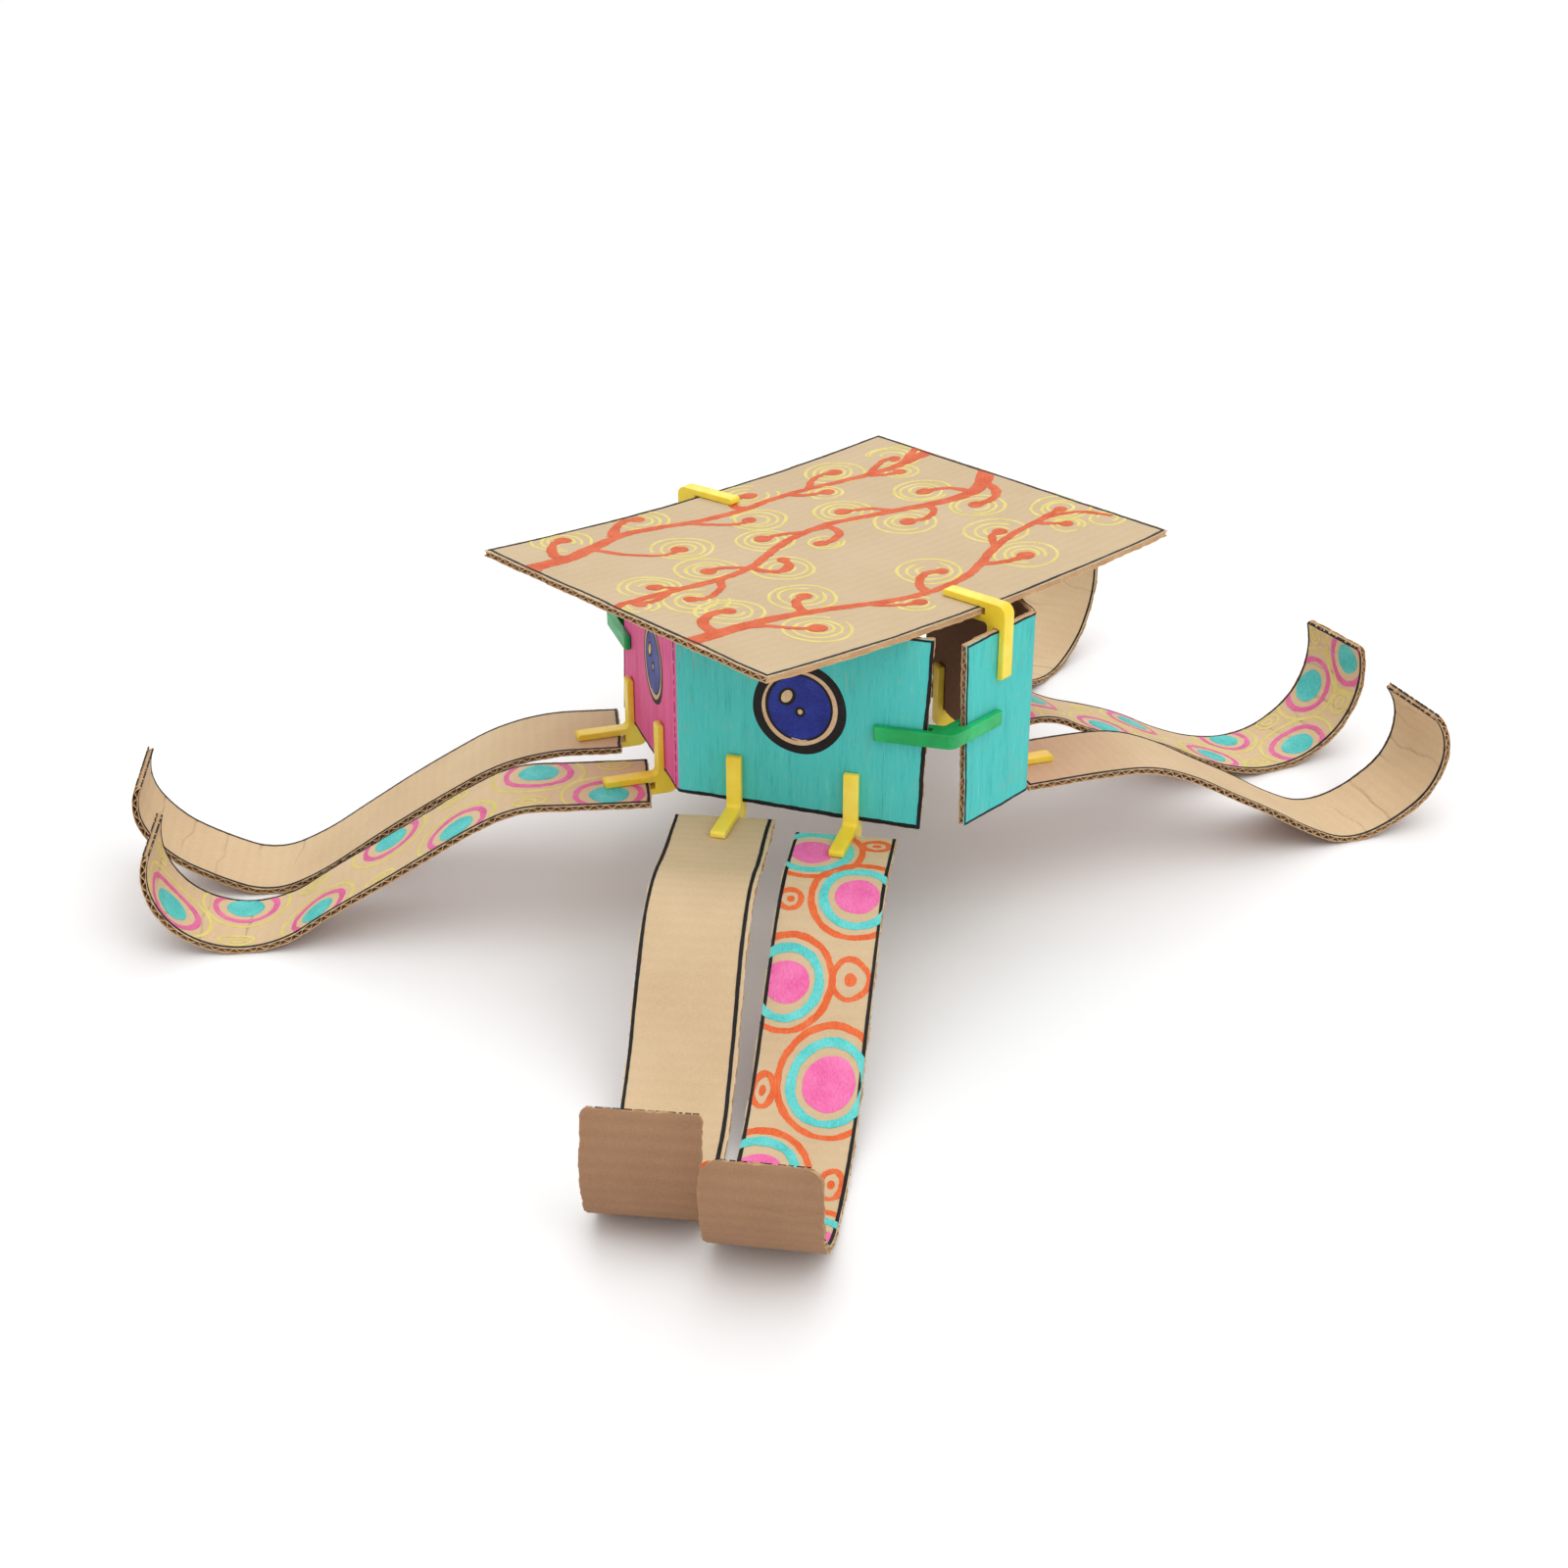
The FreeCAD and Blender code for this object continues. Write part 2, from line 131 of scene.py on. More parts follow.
# ------------------------------------------------------------ sheet shapes
class Strip:
    """Top face of a curved strip: s runs along it, t across it, h is the depth below the face."""

    def __init__(self, name):
        self.wall, self.along, deg, self.flat, self.length, start, turns = STRIPS[name]
        self.d, self.n = unit(deg), left_of(unit(deg))
        self.start = np.array(start)
        self.turns = np.radians(turns)
        self.seg = (self.length - self.flat) / len(turns)
        x, z, a = self.flat, 0.0, 0.0
        self.knots = []
        for t in self.turns:
            self.knots.append((x, z, a))
            r = self.seg / t
            x += r * (math.sin(a + t) - math.sin(a))
            z -= r * (math.cos(a + t) - math.cos(a))
            a += t
        self.knots = np.array(self.knots)

    def pos(self, s, t, h):
        s, t, h = np.broadcast_arrays(np.asarray(s, float), np.asarray(t, float), np.asarray(h, float))
        i = np.clip(np.floor((s - self.flat) / self.seg).astype(int), 0, len(self.turns) - 1)
        k = self.knots[i]
        ang = self.turns[i]
        r = self.seg / ang
        q = (s - self.flat - i * self.seg) / self.seg * ang
        x = k[..., 0] + r * (np.sin(k[..., 2] + q) - np.sin(k[..., 2]))
        z = k[..., 1] - r * (np.cos(k[..., 2] + q) - np.cos(k[..., 2]))
        a = k[..., 2] + q
        flat = s <= self.flat
        x, z, a = np.where(flat, s, x), np.where(flat, 0.0, z), np.where(flat, 0.0, a)
        x, z = x + h * np.sin(a), z - h * np.cos(a)
        return self.start + x[..., None] * self.d + t[..., None] * self.n + z[..., None] * UP


class Roof:
    """Top face of the bowed roof: s along the long side from its middle, t across."""
    half = ROOF_LONG / 2
    r = (half * half + ROOF_SAG * ROOF_SAG) / (2 * ROOF_SAG)

    def pos(self, s, t, h):
        s, t, h = np.broadcast_arrays(np.asarray(s, float), np.asarray(t, float), np.asarray(h, float))
        u, n = unit(ROOF_TURN), left_of(unit(ROOF_TURN))
        a = s / self.r
        r = self.r + h
        return (r * np.sin(a))[..., None] * u + t[..., None] * n + (ROOF_Z - ROOF_SAG + self.r - r * np.cos(a))[..., None] * UP


class Wall:
    """Outer face of a sheet with one rounded fold: s along the plan line, t is the height, h the depth inwards."""

    def __init__(self, start, d1, len1, d2, round_r=5.0):
        self.start, self.d1, self.len1, self.d2, self.r = start, d1, len1, d2, round_r
        self.n1, self.n2 = left_of(d1), left_of(d2)
        self.turn = math.acos(float(np.clip(d1 @ d2, -1, 1)))
        self.rc = round_r * math.tan(self.turn / 2)
        self.fold = start + d1 * len1

    def pos(self, s, t, h):
        s, t, h = np.broadcast_arrays(np.asarray(s, float), np.asarray(t, float), np.asarray(h, float))
        a = self.start + s[..., None] * self.d1 + h[..., None] * self.n1
        b = self.fold + (s - self.len1)[..., None] * self.d2 + h[..., None] * self.n2
        phi = np.clip((s - (self.len1 - self.rc)) / (2 * self.rc), 0, 1) * self.turn
        centre = self.start + self.d1 * (self.len1 - self.rc) + self.n1 * self.r
        out = -self.n1 * np.cos(phi)[..., None] + self.d1 * np.sin(phi)[..., None]
        c = centre + (self.r - h)[..., None] * out
        p = np.where((s < self.len1 - self.rc)[..., None], a, np.where((s > self.len1 + self.rc)[..., None], b, c))
        return p + t[..., None] * UP


# ------------------------------------------------------------ mesh building
def make(name, verts, faces, mats, face_mat=None, st=None, edge=None, crease=None, smooth=40, fix_normals=False):
    me = bpy.data.meshes.new(name)
    v = (np.asarray(verts, float) + ORIGIN) * MM
    me.from_pydata([tuple(x) for x in v], [], [tuple(int(i) for i in f) for f in faces])
    for m in mats:
        me.materials.append(m)
    if face_mat is not None:
        me.polygons.foreach_set("material_index", np.asarray(face_mat, np.int32))
    if st is not None:
        a = me.attributes.new("st", "FLOAT_VECTOR", "POINT")
        a.data.foreach_set("vector", np.asarray(st, np.float32).ravel())
    for key, val in (("edge", edge), ("crease", crease)):
        if val is not None:
            a = me.attributes.new(key, "FLOAT", "POINT")
            a.data.foreach_set("value", np.asarray(val, np.float32).ravel())
    if fix_normals:
        bm = bmesh.new()
        bm.from_mesh(me)
        bmesh.ops.recalc_face_normals(bm, faces=bm.faces)
        bm.to_mesh(me)
        bm.free()
    me.polygons.foreach_set("use_smooth", np.ones(len(me.polygons), bool))
    me.set_sharp_from_angle(angle=math.radians(smooth))
    me.update()
    ob = bpy.data.objects.new(name, me)
    bpy.context.scene.collection.objects.link(ob)
    return ob


class Build:
    """Collects closed slabs with their materials and surface data into one mesh."""

    def __init__(self):
        self.v, self.f, self.m, self.st, self.e, self.c = [], [], [], [], [], []
        self.n = 0

    def slab(self, top, bot, st_top, st_bot, edge, crease, m_top, m_bot, m_side):
        """top and bot are grids of points; m_top and m_bot may be grids of material numbers for the faces."""
        ni, nj = top.shape[:2]
        base = self.n
        self.v += [top.reshape(-1, 3), bot.reshape(-1, 3)]
        self.st += [st_top.reshape(-1, 3), st_bot.reshape(-1, 3)]
        self.e += [edge.ravel(), edge.ravel()]
        self.c += [crease.ravel(), crease.ravel()]
        self.n += 2 * ni * nj
        i, j = np.meshgrid(np.arange(ni - 1), np.arange(nj - 1), indexing="ij")
        q = np.stack([i * nj + j, (i + 1) * nj + j, (i + 1) * nj + j + 1, i * nj + j + 1], -1).reshape(-1, 4)
        ci, cj = ni // 2, nj // 2
        ci, cj = min(ci, ni - 2), min(cj, nj - 2)
        nrm = np.cross(top[ci + 1, cj] - top[ci, cj], top[ci, cj + 1] - top[ci, cj])
        flip = (nrm @ (top[ci, cj] - bot[ci, cj])) < 0
        qt, qb = (q[:, ::-1], q) if flip else (q, q[:, ::-1])
        self.f += [qt + base, qb + base + ni * nj]
        mt = np.broadcast_to(np.asarray(m_top), (ni - 1, nj - 1)).ravel()
        mb = np.broadcast_to(np.asarray(m_bot), (ni - 1, nj - 1)).ravel()
        self.m += [mt, mb]
        loop = [a * nj for a in range(ni - 1)] + [(ni - 1) * nj + b for b in range(nj - 1)] + \
               [a * nj + nj - 1 for a in range(ni - 1, 0, -1)] + [b for b in range(nj - 1, 0, -1)]
        loop = np.array(loop)
        nxt = np.roll(loop, -1)
        s = np.stack([nxt, loop, loop + ni * nj, nxt + ni * nj], -1)
        if flip:
            s = s[:, ::-1]
        self.f.append(s + base)
        ms = np.asarray(m_side)
        self.m.append(np.broadcast_to(ms, (len(s),)) if ms.ndim == 0 else ms)

    def done(self, name, mats, smooth=40):
        faces = np.concatenate(self.f)
        return make(name, np.concatenate(self.v), faces, mats, np.concatenate(self.m), np.concatenate(self.st),
                    np.concatenate(self.e), np.concatenate(self.c), smooth)


def board(name, chart, smap, np_, nq, wave, mats, creases=(), seed=0, outer_mat=0, inner_mat=1, side_mat=2, flute_mat=3,
          end_dark=False, ruled=2, wave_len=None, ripple=(0.03, 0.05), fold_s=None):
    """Corrugated board over chart. smap(p, q) gives (s, t) over the unit square. wave says which way the
    fluting steps: 's' or 't'. Two liners and a fluted middle, each a closed thin slab."""
    b = Build()
    p = np.linspace(0, 1, np_)
    q = np.linspace(0, 1, nq)
    # the outer rings of the grid are close to the edge, so that it can be ragged
    PP, QQ = np.meshgrid(p, q, indexing="ij")
    S0, T0 = smap(PP, QQ)
    size_s = float(S0.max() - S0.min())
    size_t = float(T0.max() - T0.min())
    r = random.Random(seed)

    def ragged(PP, QQ, k):
        S, T = smap(PP, QQ)
        e_lo, e_hi, e_a, e_b = (tear(seed * 31 + k * 7 + m) for m in range(4))
        wq = np.clip(1 - QQ * size_t / 3.0, 0, 1), np.clip(1 - (1 - QQ) * size_t / 3.0, 0, 1)
        wp = np.clip(1 - PP * size_s / 3.0, 0, 1), np.clip(1 - (1 - PP) * size_s / 3.0, 0, 1)
        T = T + wq[0] * (0.35 + e_lo(S)) - wq[1] * (0.35 + e_hi(S))
        S = S + wp[0] * (0.35 + e_a(T)) - wp[1] * (0.35 + e_b(T))
        return S, T

    def edge_mm(PP, QQ):
        return np.minimum(np.minimum(PP, 1 - PP) * size_s, np.minimum(QQ, 1 - QQ) * size_t)

    def crease_at(S, T):
        out = np.zeros_like(S)
        for s0, slope, depth, width, lam in creases:
            line = s0 + slope * T + 1.4 * np.sin(T / lam + s0) + 0.6 * np.sin(T / lam * 2.7 + 2 * s0)
            fade = 0.35 + 0.65 * np.clip(np.sin(T / 17.0 + s0 * 1.3) * 0.8 + 0.6, 0, 1)
            out += depth * fade * np.exp(-((S - line) / width) ** 2)
        return out

    c_ = None
    for k, (h0, h1, m_out, m_in) in enumerate(((0.0, LINER, outer_mat, flute_mat), (BOARD - LINER, BOARD, flute_mat, inner_mat))):
        S, T = ragged(PP, QQ, k)
        cr = crease_at(S, T)
        w = S if wave == "s" else T
        rip = (ripple[0] if k == 0 else ripple[1]) * (1 + np.sin(2 * math.pi * w / PITCH + 0.7))
        d0, d1 = np.full_like(S, h0), np.full_like(S, h1)
        if k == 0:
            d0 = d0 + rip + 0.30 * cr
        else:
            d1 = d1 - rip - 0.20 * cr
        top, bot = chart.pos(S, T, d0), chart.pos(S, T, d1)
        st0 = np.stack([S, T, d0], -1)
        st1 = np.stack([S, T, d1], -1)
        side = np.full(2 * (np_ - 1) + 2 * (nq - 1), side_mat)
        mt, mb = m_out, m_in
        if callable(m_out):
            mt = m_out((S[:-1, :-1] + S[1:, 1:]) / 2, (T[:-1, :-1] + T[1:, 1:]) / 2)
        if callable(m_in):
            mb = m_in((S[:-1, :-1] + S[1:, 1:]) / 2, (T[:-1, :-1] + T[1:, 1:]) / 2)
        b.slab(top, bot, st0, st1, edge_mm(PP, QQ), cr, mt, mb, side)
    # fluting
    if wave == "s":
        nw = int(size_s / PITCH * 10) + 2
        pp, qq = np.linspace(0.0015, 0.9985, nw), np.linspace(0, 1, ruled)
    else:
        nw = int(size_t / PITCH * 10) + 2
        pp, qq = np.linspace(0, 1, ruled), np.linspace(0.003, 0.997, nw)
    P, Q = np.meshgrid(pp, qq, indexing="ij")
    S, T = smap(P, Q)
    ea, eb = wobble(seed + 91, [(9, 0.35), (4, 0.3), (2.3, 0.2)]), wobble(seed + 92, [(9, 0.35), (4, 0.3), (2.3, 0.2)])
    if wave == "s":
        T = T + np.where(Q < 0.02, 0.5 + 0.5 * ea(S), 0) - np.where(Q > 0.98, 0.5 + 0.5 * eb(S), 0)
        w = S
    else:
        S = S + np.where(P < 0.005, 0.5 + 0.5 * ea(T), 0) - np.where(P > 0.995, 0.5 + 0.5 * eb(T), 0)
        w = T
    crush = wobble(seed + 93, [(23, 0.12), (11, 0.12)])
    mid = BOARD / 2 + (BOARD / 2 - LINER - 0.16 + 0.5 * crush(w)) * np.sin(2 * math.pi * w / PITCH)
    mid = np.clip(mid, LINER + 0.2, BOARD - LINER - 0.2)
    slope = np.abs(np.cos(2 * math.pi * w / PITCH))
    th = 0.17 + 0.07 * slope
    top, bot = chart.pos(S, T, mid - th), chart.pos(S, T, mid + th)
    st = np.stack([S, T, mid], -1)
    zero = np.zeros_like(S)
    b.slab(top, bot, st, st, zero, zero, flute_mat, flute_mat, side_mat)
    # along the two edges that run with the fluting, the last half wave closes the board
    for k, e in enumerate((0.0, 1.0)):
        n_ = np_ if wave == "t" else nq
        run = np.linspace(0.004, 0.996, n_)
        A, B = (run, np.full(n_, e)) if wave == "t" else (np.full(n_, e), run)
        S, T = smap(A, B)
        w = S if wave == "t" else T
        sg = 1.0 if e == 0.0 else -1.0
        dent = wobble(seed * 13 + k, [(19, 0.22), (7, 0.16), (3.2, 0.1)])(w)
        hh = np.array([LINER * 0.7, BOARD * 0.36, BOARD * 0.68, BOARD - LINER * 0.7])
        bulge = np.array([0.15, -0.2, 0.2, -0.1])
        W, H = np.meshgrid(dent, hh, indexing="ij")
        ins = 0.85 + W + bulge[None, :]
        grids = []
        for extra in (0.0, 0.35):
            off = sg * (ins + extra)
            if wave == "t":
                Sg, Tg = np.repeat(S[:, None], 4, 1), T[:, None] + off
            else:
                Sg, Tg = S[:, None] + off, np.repeat(T[:, None], 4, 1)
            grids.append((chart.pos(Sg, Tg, H), np.stack([Sg, Tg, H], -1)))
        z0 = np.zeros_like(H)
        b.slab(grids[0][0], grids[1][0], grids[0][1], grids[1][1], z0, z0, flute_mat, flute_mat, flute_mat)
    return b.done(name, mats, 35)


# ------------------------------------------------------------ paint strokes
def smooth_line(pts, step=1.3, closed=False):
    """A rounded line through the points, evenly stepped."""
    P = np.asarray(pts, float)
    if closed:
        P = np.vstack([P[-1], P, P[0], P[1]])
    else:
        P = np.vstack([2 * P[0] - P[1], P, 2 * P[-1] - P[-2]])
    out = []
    for i in range(1, len(P) - 2):
        n = max(2, int(np.linalg.norm(P[i + 1] - P[i]) / 0.4))
        u = np.linspace(0, 1, n, endpoint=False)[:, None]
        a, b, c, d = P[i - 1], P[i], P[i + 1], P[i + 2]
        out.append(0.5 * (2 * b + (c - a) * u + (2 * a - 5 * b + 4 * c - d) * u ** 2 + (-a + 3 * b - 3 * c + d) * u ** 3))
    out = np.vstack(out + ([P[-2]] if not closed else []))
    d = np.concatenate([[0], np.cumsum(np.linalg.norm(np.diff(out, axis=0), axis=1))])
    n = max(3, int(d[-1] / step) + 1)
    x = np.linspace(0, d[-1], n)
    return np.stack([np.interp(x, d, out[:, 0]), np.interp(x, d, out[:, 1])], -1), x


def ribbon(pts, width, seed=0, rough=0.12, closed=False, step=1.3, caps=True):
    """A brush or marker line of changing width as a flat mesh in (s, t)."""
    L, x = smooth_line(pts, step, closed)
    if closed:
        L = L[:-1] if np.linalg.norm(L[0] - L[-1]) < 0.3 * step else L
    n = len(L)
    if closed:
        tan = np.roll(L, -1, 0) - np.roll(L, 1, 0)
    else:
        tan = np.gradient(L, axis=0)
    tan = tan / np.maximum(np.linalg.norm(tan, axis=1), 1e-9)[:, None]
    nor = np.stack([-tan[:, 1], tan[:, 0]], -1)
    x = x[:n]
    if np.ndim(width) == 0:
        w = np.full(n, float(width))
    else:
        w = np.interp(np.linspace(0, 1, n), np.linspace(0, 1, len(width)), width)
    a, b = wobble(seed * 2 + 1, [(17, rough), (7, rough * 0.7), (3.1, rough * 0.5)]), wobble(seed * 2 + 2, [(17, rough), (7, rough * 0.7), (3.1, rough * 0.5)])
    wl, wr = w / 2 + a(x) * np.minimum(w / 2, 1.5), w / 2 + b(x) * np.minimum(w / 2, 1.5)
    cols = [-1.0, -0.34, 0.34, 1.0] if w.max() > 3 else [-1.0, 0.0, 1.0]
    V, F = [], []
    for i in range(n):
        for c in cols:
            V.append(L[i] + nor[i] * (c * (wl[i] if c > 0 else wr[i])))
    m = len(cols)
    rng = range(n) if closed else range(n - 1)
    for i in rng:
        k = (i + 1) % n
        for c in range(m - 1):
            F.append((i * m + c, k * m + c, k * m + c + 1, i * m + c + 1))
    if caps and not closed:
        for end, sg in ((0, -1.0), (n - 1, 1.0)):
            base = end * m
            prev = base
            r0 = (wl[end] + wr[end]) / 2
            ids = [base + m - 1]
            for a_ in np.linspace(math.pi / 2, -math.pi / 2, 7)[1:-1]:
                V.append(L[end] + nor[end] * (math.sin(a_) * r0) + tan[end] * (sg * math.cos(a_) * r0 * 0.9))
                ids.append(len(V) - 1)
            ids.append(base)
            for k in range(len(ids) - 1):
                # fan onto the nearest column vertices
                c = base + (m - 1 if k < len(ids) // 2 else 0)
                if c in (ids[k], ids[k + 1]):
                    c = base + m // 2
                F.append((c, ids[k], ids[k + 1]))
            # the two fan halves meet along the end's own columns
            mid = base + m // 2
            F[:] = [f for f in F if len(set(f)) == len(f)]
            F[:] = F[:len(F) - (len(ids) - 1)] if False else F
    return np.array(V), F


def blob(c, rs, rt, seed=0, rough=0.06, rings=None, turn=0.0):
    """A painted spot as a flat mesh with rings."""
    n = max(18, int(2 * math.pi * max(rs, rt) / 1.5))
    rings = rings or max(2, int(max(rs, rt) / 1.8))
    th = np.arange(n) / n * 2 * math.pi
    r = random.Random(seed)
    k = 1 + sum(rough * r.uniform(0.3, 1) / m * np.cos(m * th + r.uniform(0, 6.28)) for m in (1, 2, 3, 5, 7))
    ca, sa = math.cos(math.radians(turn)), math.sin(math.radians(turn))
    V = [np.array(c, float)]
    F = []
    for i in range(1, rings + 1):
        f = i / rings
        x, y = rs * f * np.cos(th) * (k if i > rings * 0.4 else 1), rt * f * np.sin(th) * (k if i > rings * 0.4 else 1)
        V += list(np.stack([c[0] + x * ca - y * sa, c[1] + x * sa + y * ca], -1))
    for j in range(n):
        F.append((0, 1 + j, 1 + (j + 1) % n))
    for i in range(1, rings):
        a, b = 1 + (i - 1) * n, 1 + i * n
        for j in range(n):
            k2 = (j + 1) % n
            F.append((a + j, b + j, b + k2, a + k2))
    return np.array(V), F


spot = blob


def ring(c, rs, rt, width, seed=0, a0=0.0, a1=360.0, rough=0.10, wave=0.05, turn=0.0):
    """A painted circle or arc of the given line width."""
    full = a1 - a0 >= 359.9
    n = max(16, int(2 * math.pi * max(rs, rt) * (a1 - a0) / 360 / 2.2))
    th = np.radians(np.linspace(a0, a1, n, endpoint=not full))
    r = random.Random(seed + 5)
    k = 1 + sum(wave * r.uniform(0.3, 1) / m * np.cos(m * th + r.uniform(0, 6.28)) for m in (1, 2, 3, 4))
    x, y = rs * k * np.cos(th), rt * k * np.sin(th)
    ca, sa = math.cos(math.radians(turn)), math.sin(math.radians(turn))
    pts = np.stack([c[0] + x * ca - y * sa, c[1] + x * sa + y * ca], -1)
    if np.ndim(width) == 0:
        width = [width * u for u in (0.85, 1.1, 0.9, 1.15, 0.95, 1.05, 0.85)]
    return ribbon(pts, width, seed, rough, closed=full)


def paint(name, chart, shapes, layer, mat, body, inside=None, slot=None):
    """Paint shapes, lists of (points, faces) in (s, t), lie on the chart as thin closed films."""
    V, F, n, lift = [], [], 0, []
    for k_, (v, f) in enumerate(shapes):
        lift.append(np.full(len(v), 0.006 * (k_ % 8)))
        V.append(v)
        F += [tuple(i + n for i in g) for g in f]
        n += len(v)
    V = np.vstack(V)
    lift = np.concatenate(lift)
    if inside is not None:
        V = inside(V)
    keep = []
    for g in F:
        p = V[list(g)]
        x, y = p[:, 0], p[:, 1]
        if abs(0.5 * np.sum(x * np.roll(y, -1) - y * np.roll(x, -1))) > 0.03:
            keep.append(g)
    F = keep
    count = {}
    for g in F:
        for a, b in zip(g, g[1:] + g[:1]):
            count[(a, b) if a < b else (b, a)] = count.get((a, b) if a < b else (b, a), 0) + 1
    used = sorted(set(i for g in F for i in g))
    new = {o: k for k, o in enumerate(used)}
    V, lift = V[used], lift[used]
    F = [tuple(new[i] for i in g) for g in F]
    m = len(V)
    top = chart.pos(V[:, 0], V[:, 1], -0.05 - 0.05 * layer - lift)
    bot = chart.pos(V[:, 0], V[:, 1], np.full(m, 0.12))
    faces = list(F) + [tuple(i + m for i in g[::-1]) for g in F]
    for g in F:
        for a, b in zip(g, g[1:] + g[:1]):
            k = (used[a], used[b])
            if count[k if k[0] < k[1] else k[::-1]] == 1:
                faces.append((b, a, a + m, b + m))
    st = np.concatenate([np.stack([V[:, 0], V[:, 1], np.zeros(m)], -1)] * 2)
    ob = make(name, np.vstack([top, bot]), faces, [mat], None, st, smooth=60, fix_normals=True)
    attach(ob, body)
    return ob


# ------------------------------------------------------------ materials
def srgb(r, g, b):
    def f(c):
        c = c / 255
        return c / 12.92 if c <= 0.04045 else ((c + 0.055) / 1.055) ** 2.4
    return (f(r), f(g), f(b), 1.0)


class Nodes:
    def __init__(self, name):
        self.m = bpy.data.materials.new(name)
        self.m.use_nodes = True
        self.t = self.m.node_tree
        self.t.nodes.clear()
        self.out = self.t.nodes.new("ShaderNodeOutputMaterial")
        self.b = self.t.nodes.new("ShaderNodeBsdfPrincipled")
        self.t.links.new(self.b.outputs[0], self.out.inputs[0])

    def put(self, sock, val):
        if isinstance(val, bpy.types.NodeSocket):
            self.t.links.new(val, sock)
        else:
            sock.default_value = val

    def vec(self, src, scale):
        n = self.t.nodes.new("ShaderNodeVectorMath")
        n.operation = "MULTIPLY"
        self.put(n.inputs[0], src)
        n.inputs[1].default_value = scale
        return n.outputs[0]

    def attr(self, name, out="Vector"):
        n = self.t.nodes.new("ShaderNodeAttribute")
        n.attribute_name = name
        return n.outputs[out]

    def obj(self):
        return self.t.nodes.new("ShaderNodeTexCoord").outputs["Object"]

    def noise(self, vec, scale=1.0, detail=3.0, rough=0.55, dist=0.0):
        n = self.t.nodes.new("ShaderNodeTexNoise")
        self.put(n.inputs["Vector"], vec)
        n.inputs["Scale"].default_value = scale
        n.inputs["Detail"].default_value = detail
        n.inputs["Roughness"].default_value = rough
        n.inputs["Distortion"].default_value = dist
        return n.outputs["Fac"]

    def ramp(self, fac, stops, interp="LINEAR"):
        n = self.t.nodes.new("ShaderNodeValToRGB")
        n.color_ramp.interpolation = interp
        while len(n.color_ramp.elements) < len(stops):
            n.color_ramp.elements.new(0.5)
        for e, (p, c) in zip(n.color_ramp.elements, stops):
            e.position = p
            e.color = c if isinstance(c, tuple) else (c, c, c, 1)
        self.put(n.inputs[0], fac)
        return n.outputs[0]

    def math(self, op, a, b=0.0, clamp=False):
        n = self.t.nodes.new("ShaderNodeMath")
        n.operation = op
        n.use_clamp = clamp
        self.put(n.inputs[0], a)
        self.put(n.inputs[1], b)
        return n.outputs[0]

    def mix(self, fac, a, b, blend="MIX"):
        n = self.t.nodes.new("ShaderNodeMix")
        n.data_type = "RGBA"
        n.blend_type = blend
        self.put(n.inputs[0], fac)
        self.put(n.inputs[6], a)
        self.put(n.inputs[7], b)
        return n.outputs[2]

    def sep(self, vec):
        n = self.t.nodes.new("ShaderNodeSeparateXYZ")
        self.put(n.inputs[0], vec)
        return n.outputs

    def bump(self, height, strength, dist):
        n = self.t.nodes.new("ShaderNodeBump")
        n.inputs["Strength"].default_value = strength
        n.inputs["Distance"].default_value = dist
        self.put(n.inputs["Height"], height)
        self.t.links.new(n.outputs[0], self.b.inputs["Normal"])


def kraft(name, base, dark, light, wave="s", marks=0.05, line=0.5):
    n = Nodes(name)
    st = n.attr("st")
    big = n.noise(st, 0.018, 3, 0.6)
    fib_a = n.noise(n.vec(st, (0.30, 2.6, 1.0)), 1.0, 4, 0.65, 0.3)
    fib_b = n.noise(n.vec(st, (2.2, 0.35, 1.0)), 1.0, 4, 0.65, 0.3)
    fibre = n.math("MULTIPLY", n.math("ADD", fib_a, fib_b), 0.5)
    col = n.mix(n.ramp(big, [(0.25, 0.0), (0.75, 1.0)]), dark, base)
    col = n.mix(n.ramp(fibre, [(0.35, 0.0), (0.68, 0.55)]), col, light)
    fleck = n.noise(st, 1.35, 2, 0.5)
    col = n.mix(n.ramp(fleck, [(0.70, 0.0), (0.80, 0.55)]), col, tuple(x * 0.45 for x in dark[:3]) + (1.0,))
    # painted shade: bands darker at the flute pitch, for the shade of the washboard ripple over the fluting; marks sets
    # how strong they are
    xyz = n.sep(st)
    wv = n.math("SINE", n.math("MULTIPLY", xyz[0 if wave == "s" else 1], 2 * math.pi / PITCH))
    ripple_shade = n.math("MULTIPLY", n.math("ADD", wv, 1.0), marks)
    col = n.mix(ripple_shade, col, tuple(x * 0.72 for x in dark[:3]) + (1.0,))
    # painted shade: creases read as thin darker lines, as strong as line says
    col = n.mix(n.ramp(n.attr("crease", "Fac"), [(0.25, 0.0), (0.95, line)]), col, tuple(x * 0.35 for x in dark[:3]) + (1.0,))
    # a worn, slightly paler rim
    col = n.mix(n.ramp(n.attr("edge", "Fac"), [(0.0, 0.35), (0.9, 0.0)]), col, light)
    n.put(n.b.inputs["Base Color"], col)
    n.put(n.b.inputs["Roughness"], n.ramp(fibre, [(0.2, 0.92), (0.8, 0.74)]))
    n.b.inputs["Specular IOR Level"].default_value = 0.25
    h = n.math("ADD", n.math("MULTIPLY", fibre, 0.6), n.math("MULTIPLY", fleck, 0.25))
    n.bump(h, 0.35, 0.00018)
    return n.m


def flute_mat(name, base, dark):
    n = Nodes(name)
    st = n.attr("st")
    f = n.noise(n.vec(st, (1.6, 1.6, 2.4)), 1.0, 4, 0.7)
    col = n.mix(n.ramp(f, [(0.3, 0.0), (0.7, 1.0)]), dark, base)
    n.put(n.b.inputs["Base Color"], col)
    n.put(n.b.inputs["Roughness"], n.ramp(f, [(0.2, 0.95), (0.8, 0.8)]))
    n.b.inputs["Specular IOR Level"].default_value = 0.2
    n.bump(f, 0.5, 0.0002)
    return n.m


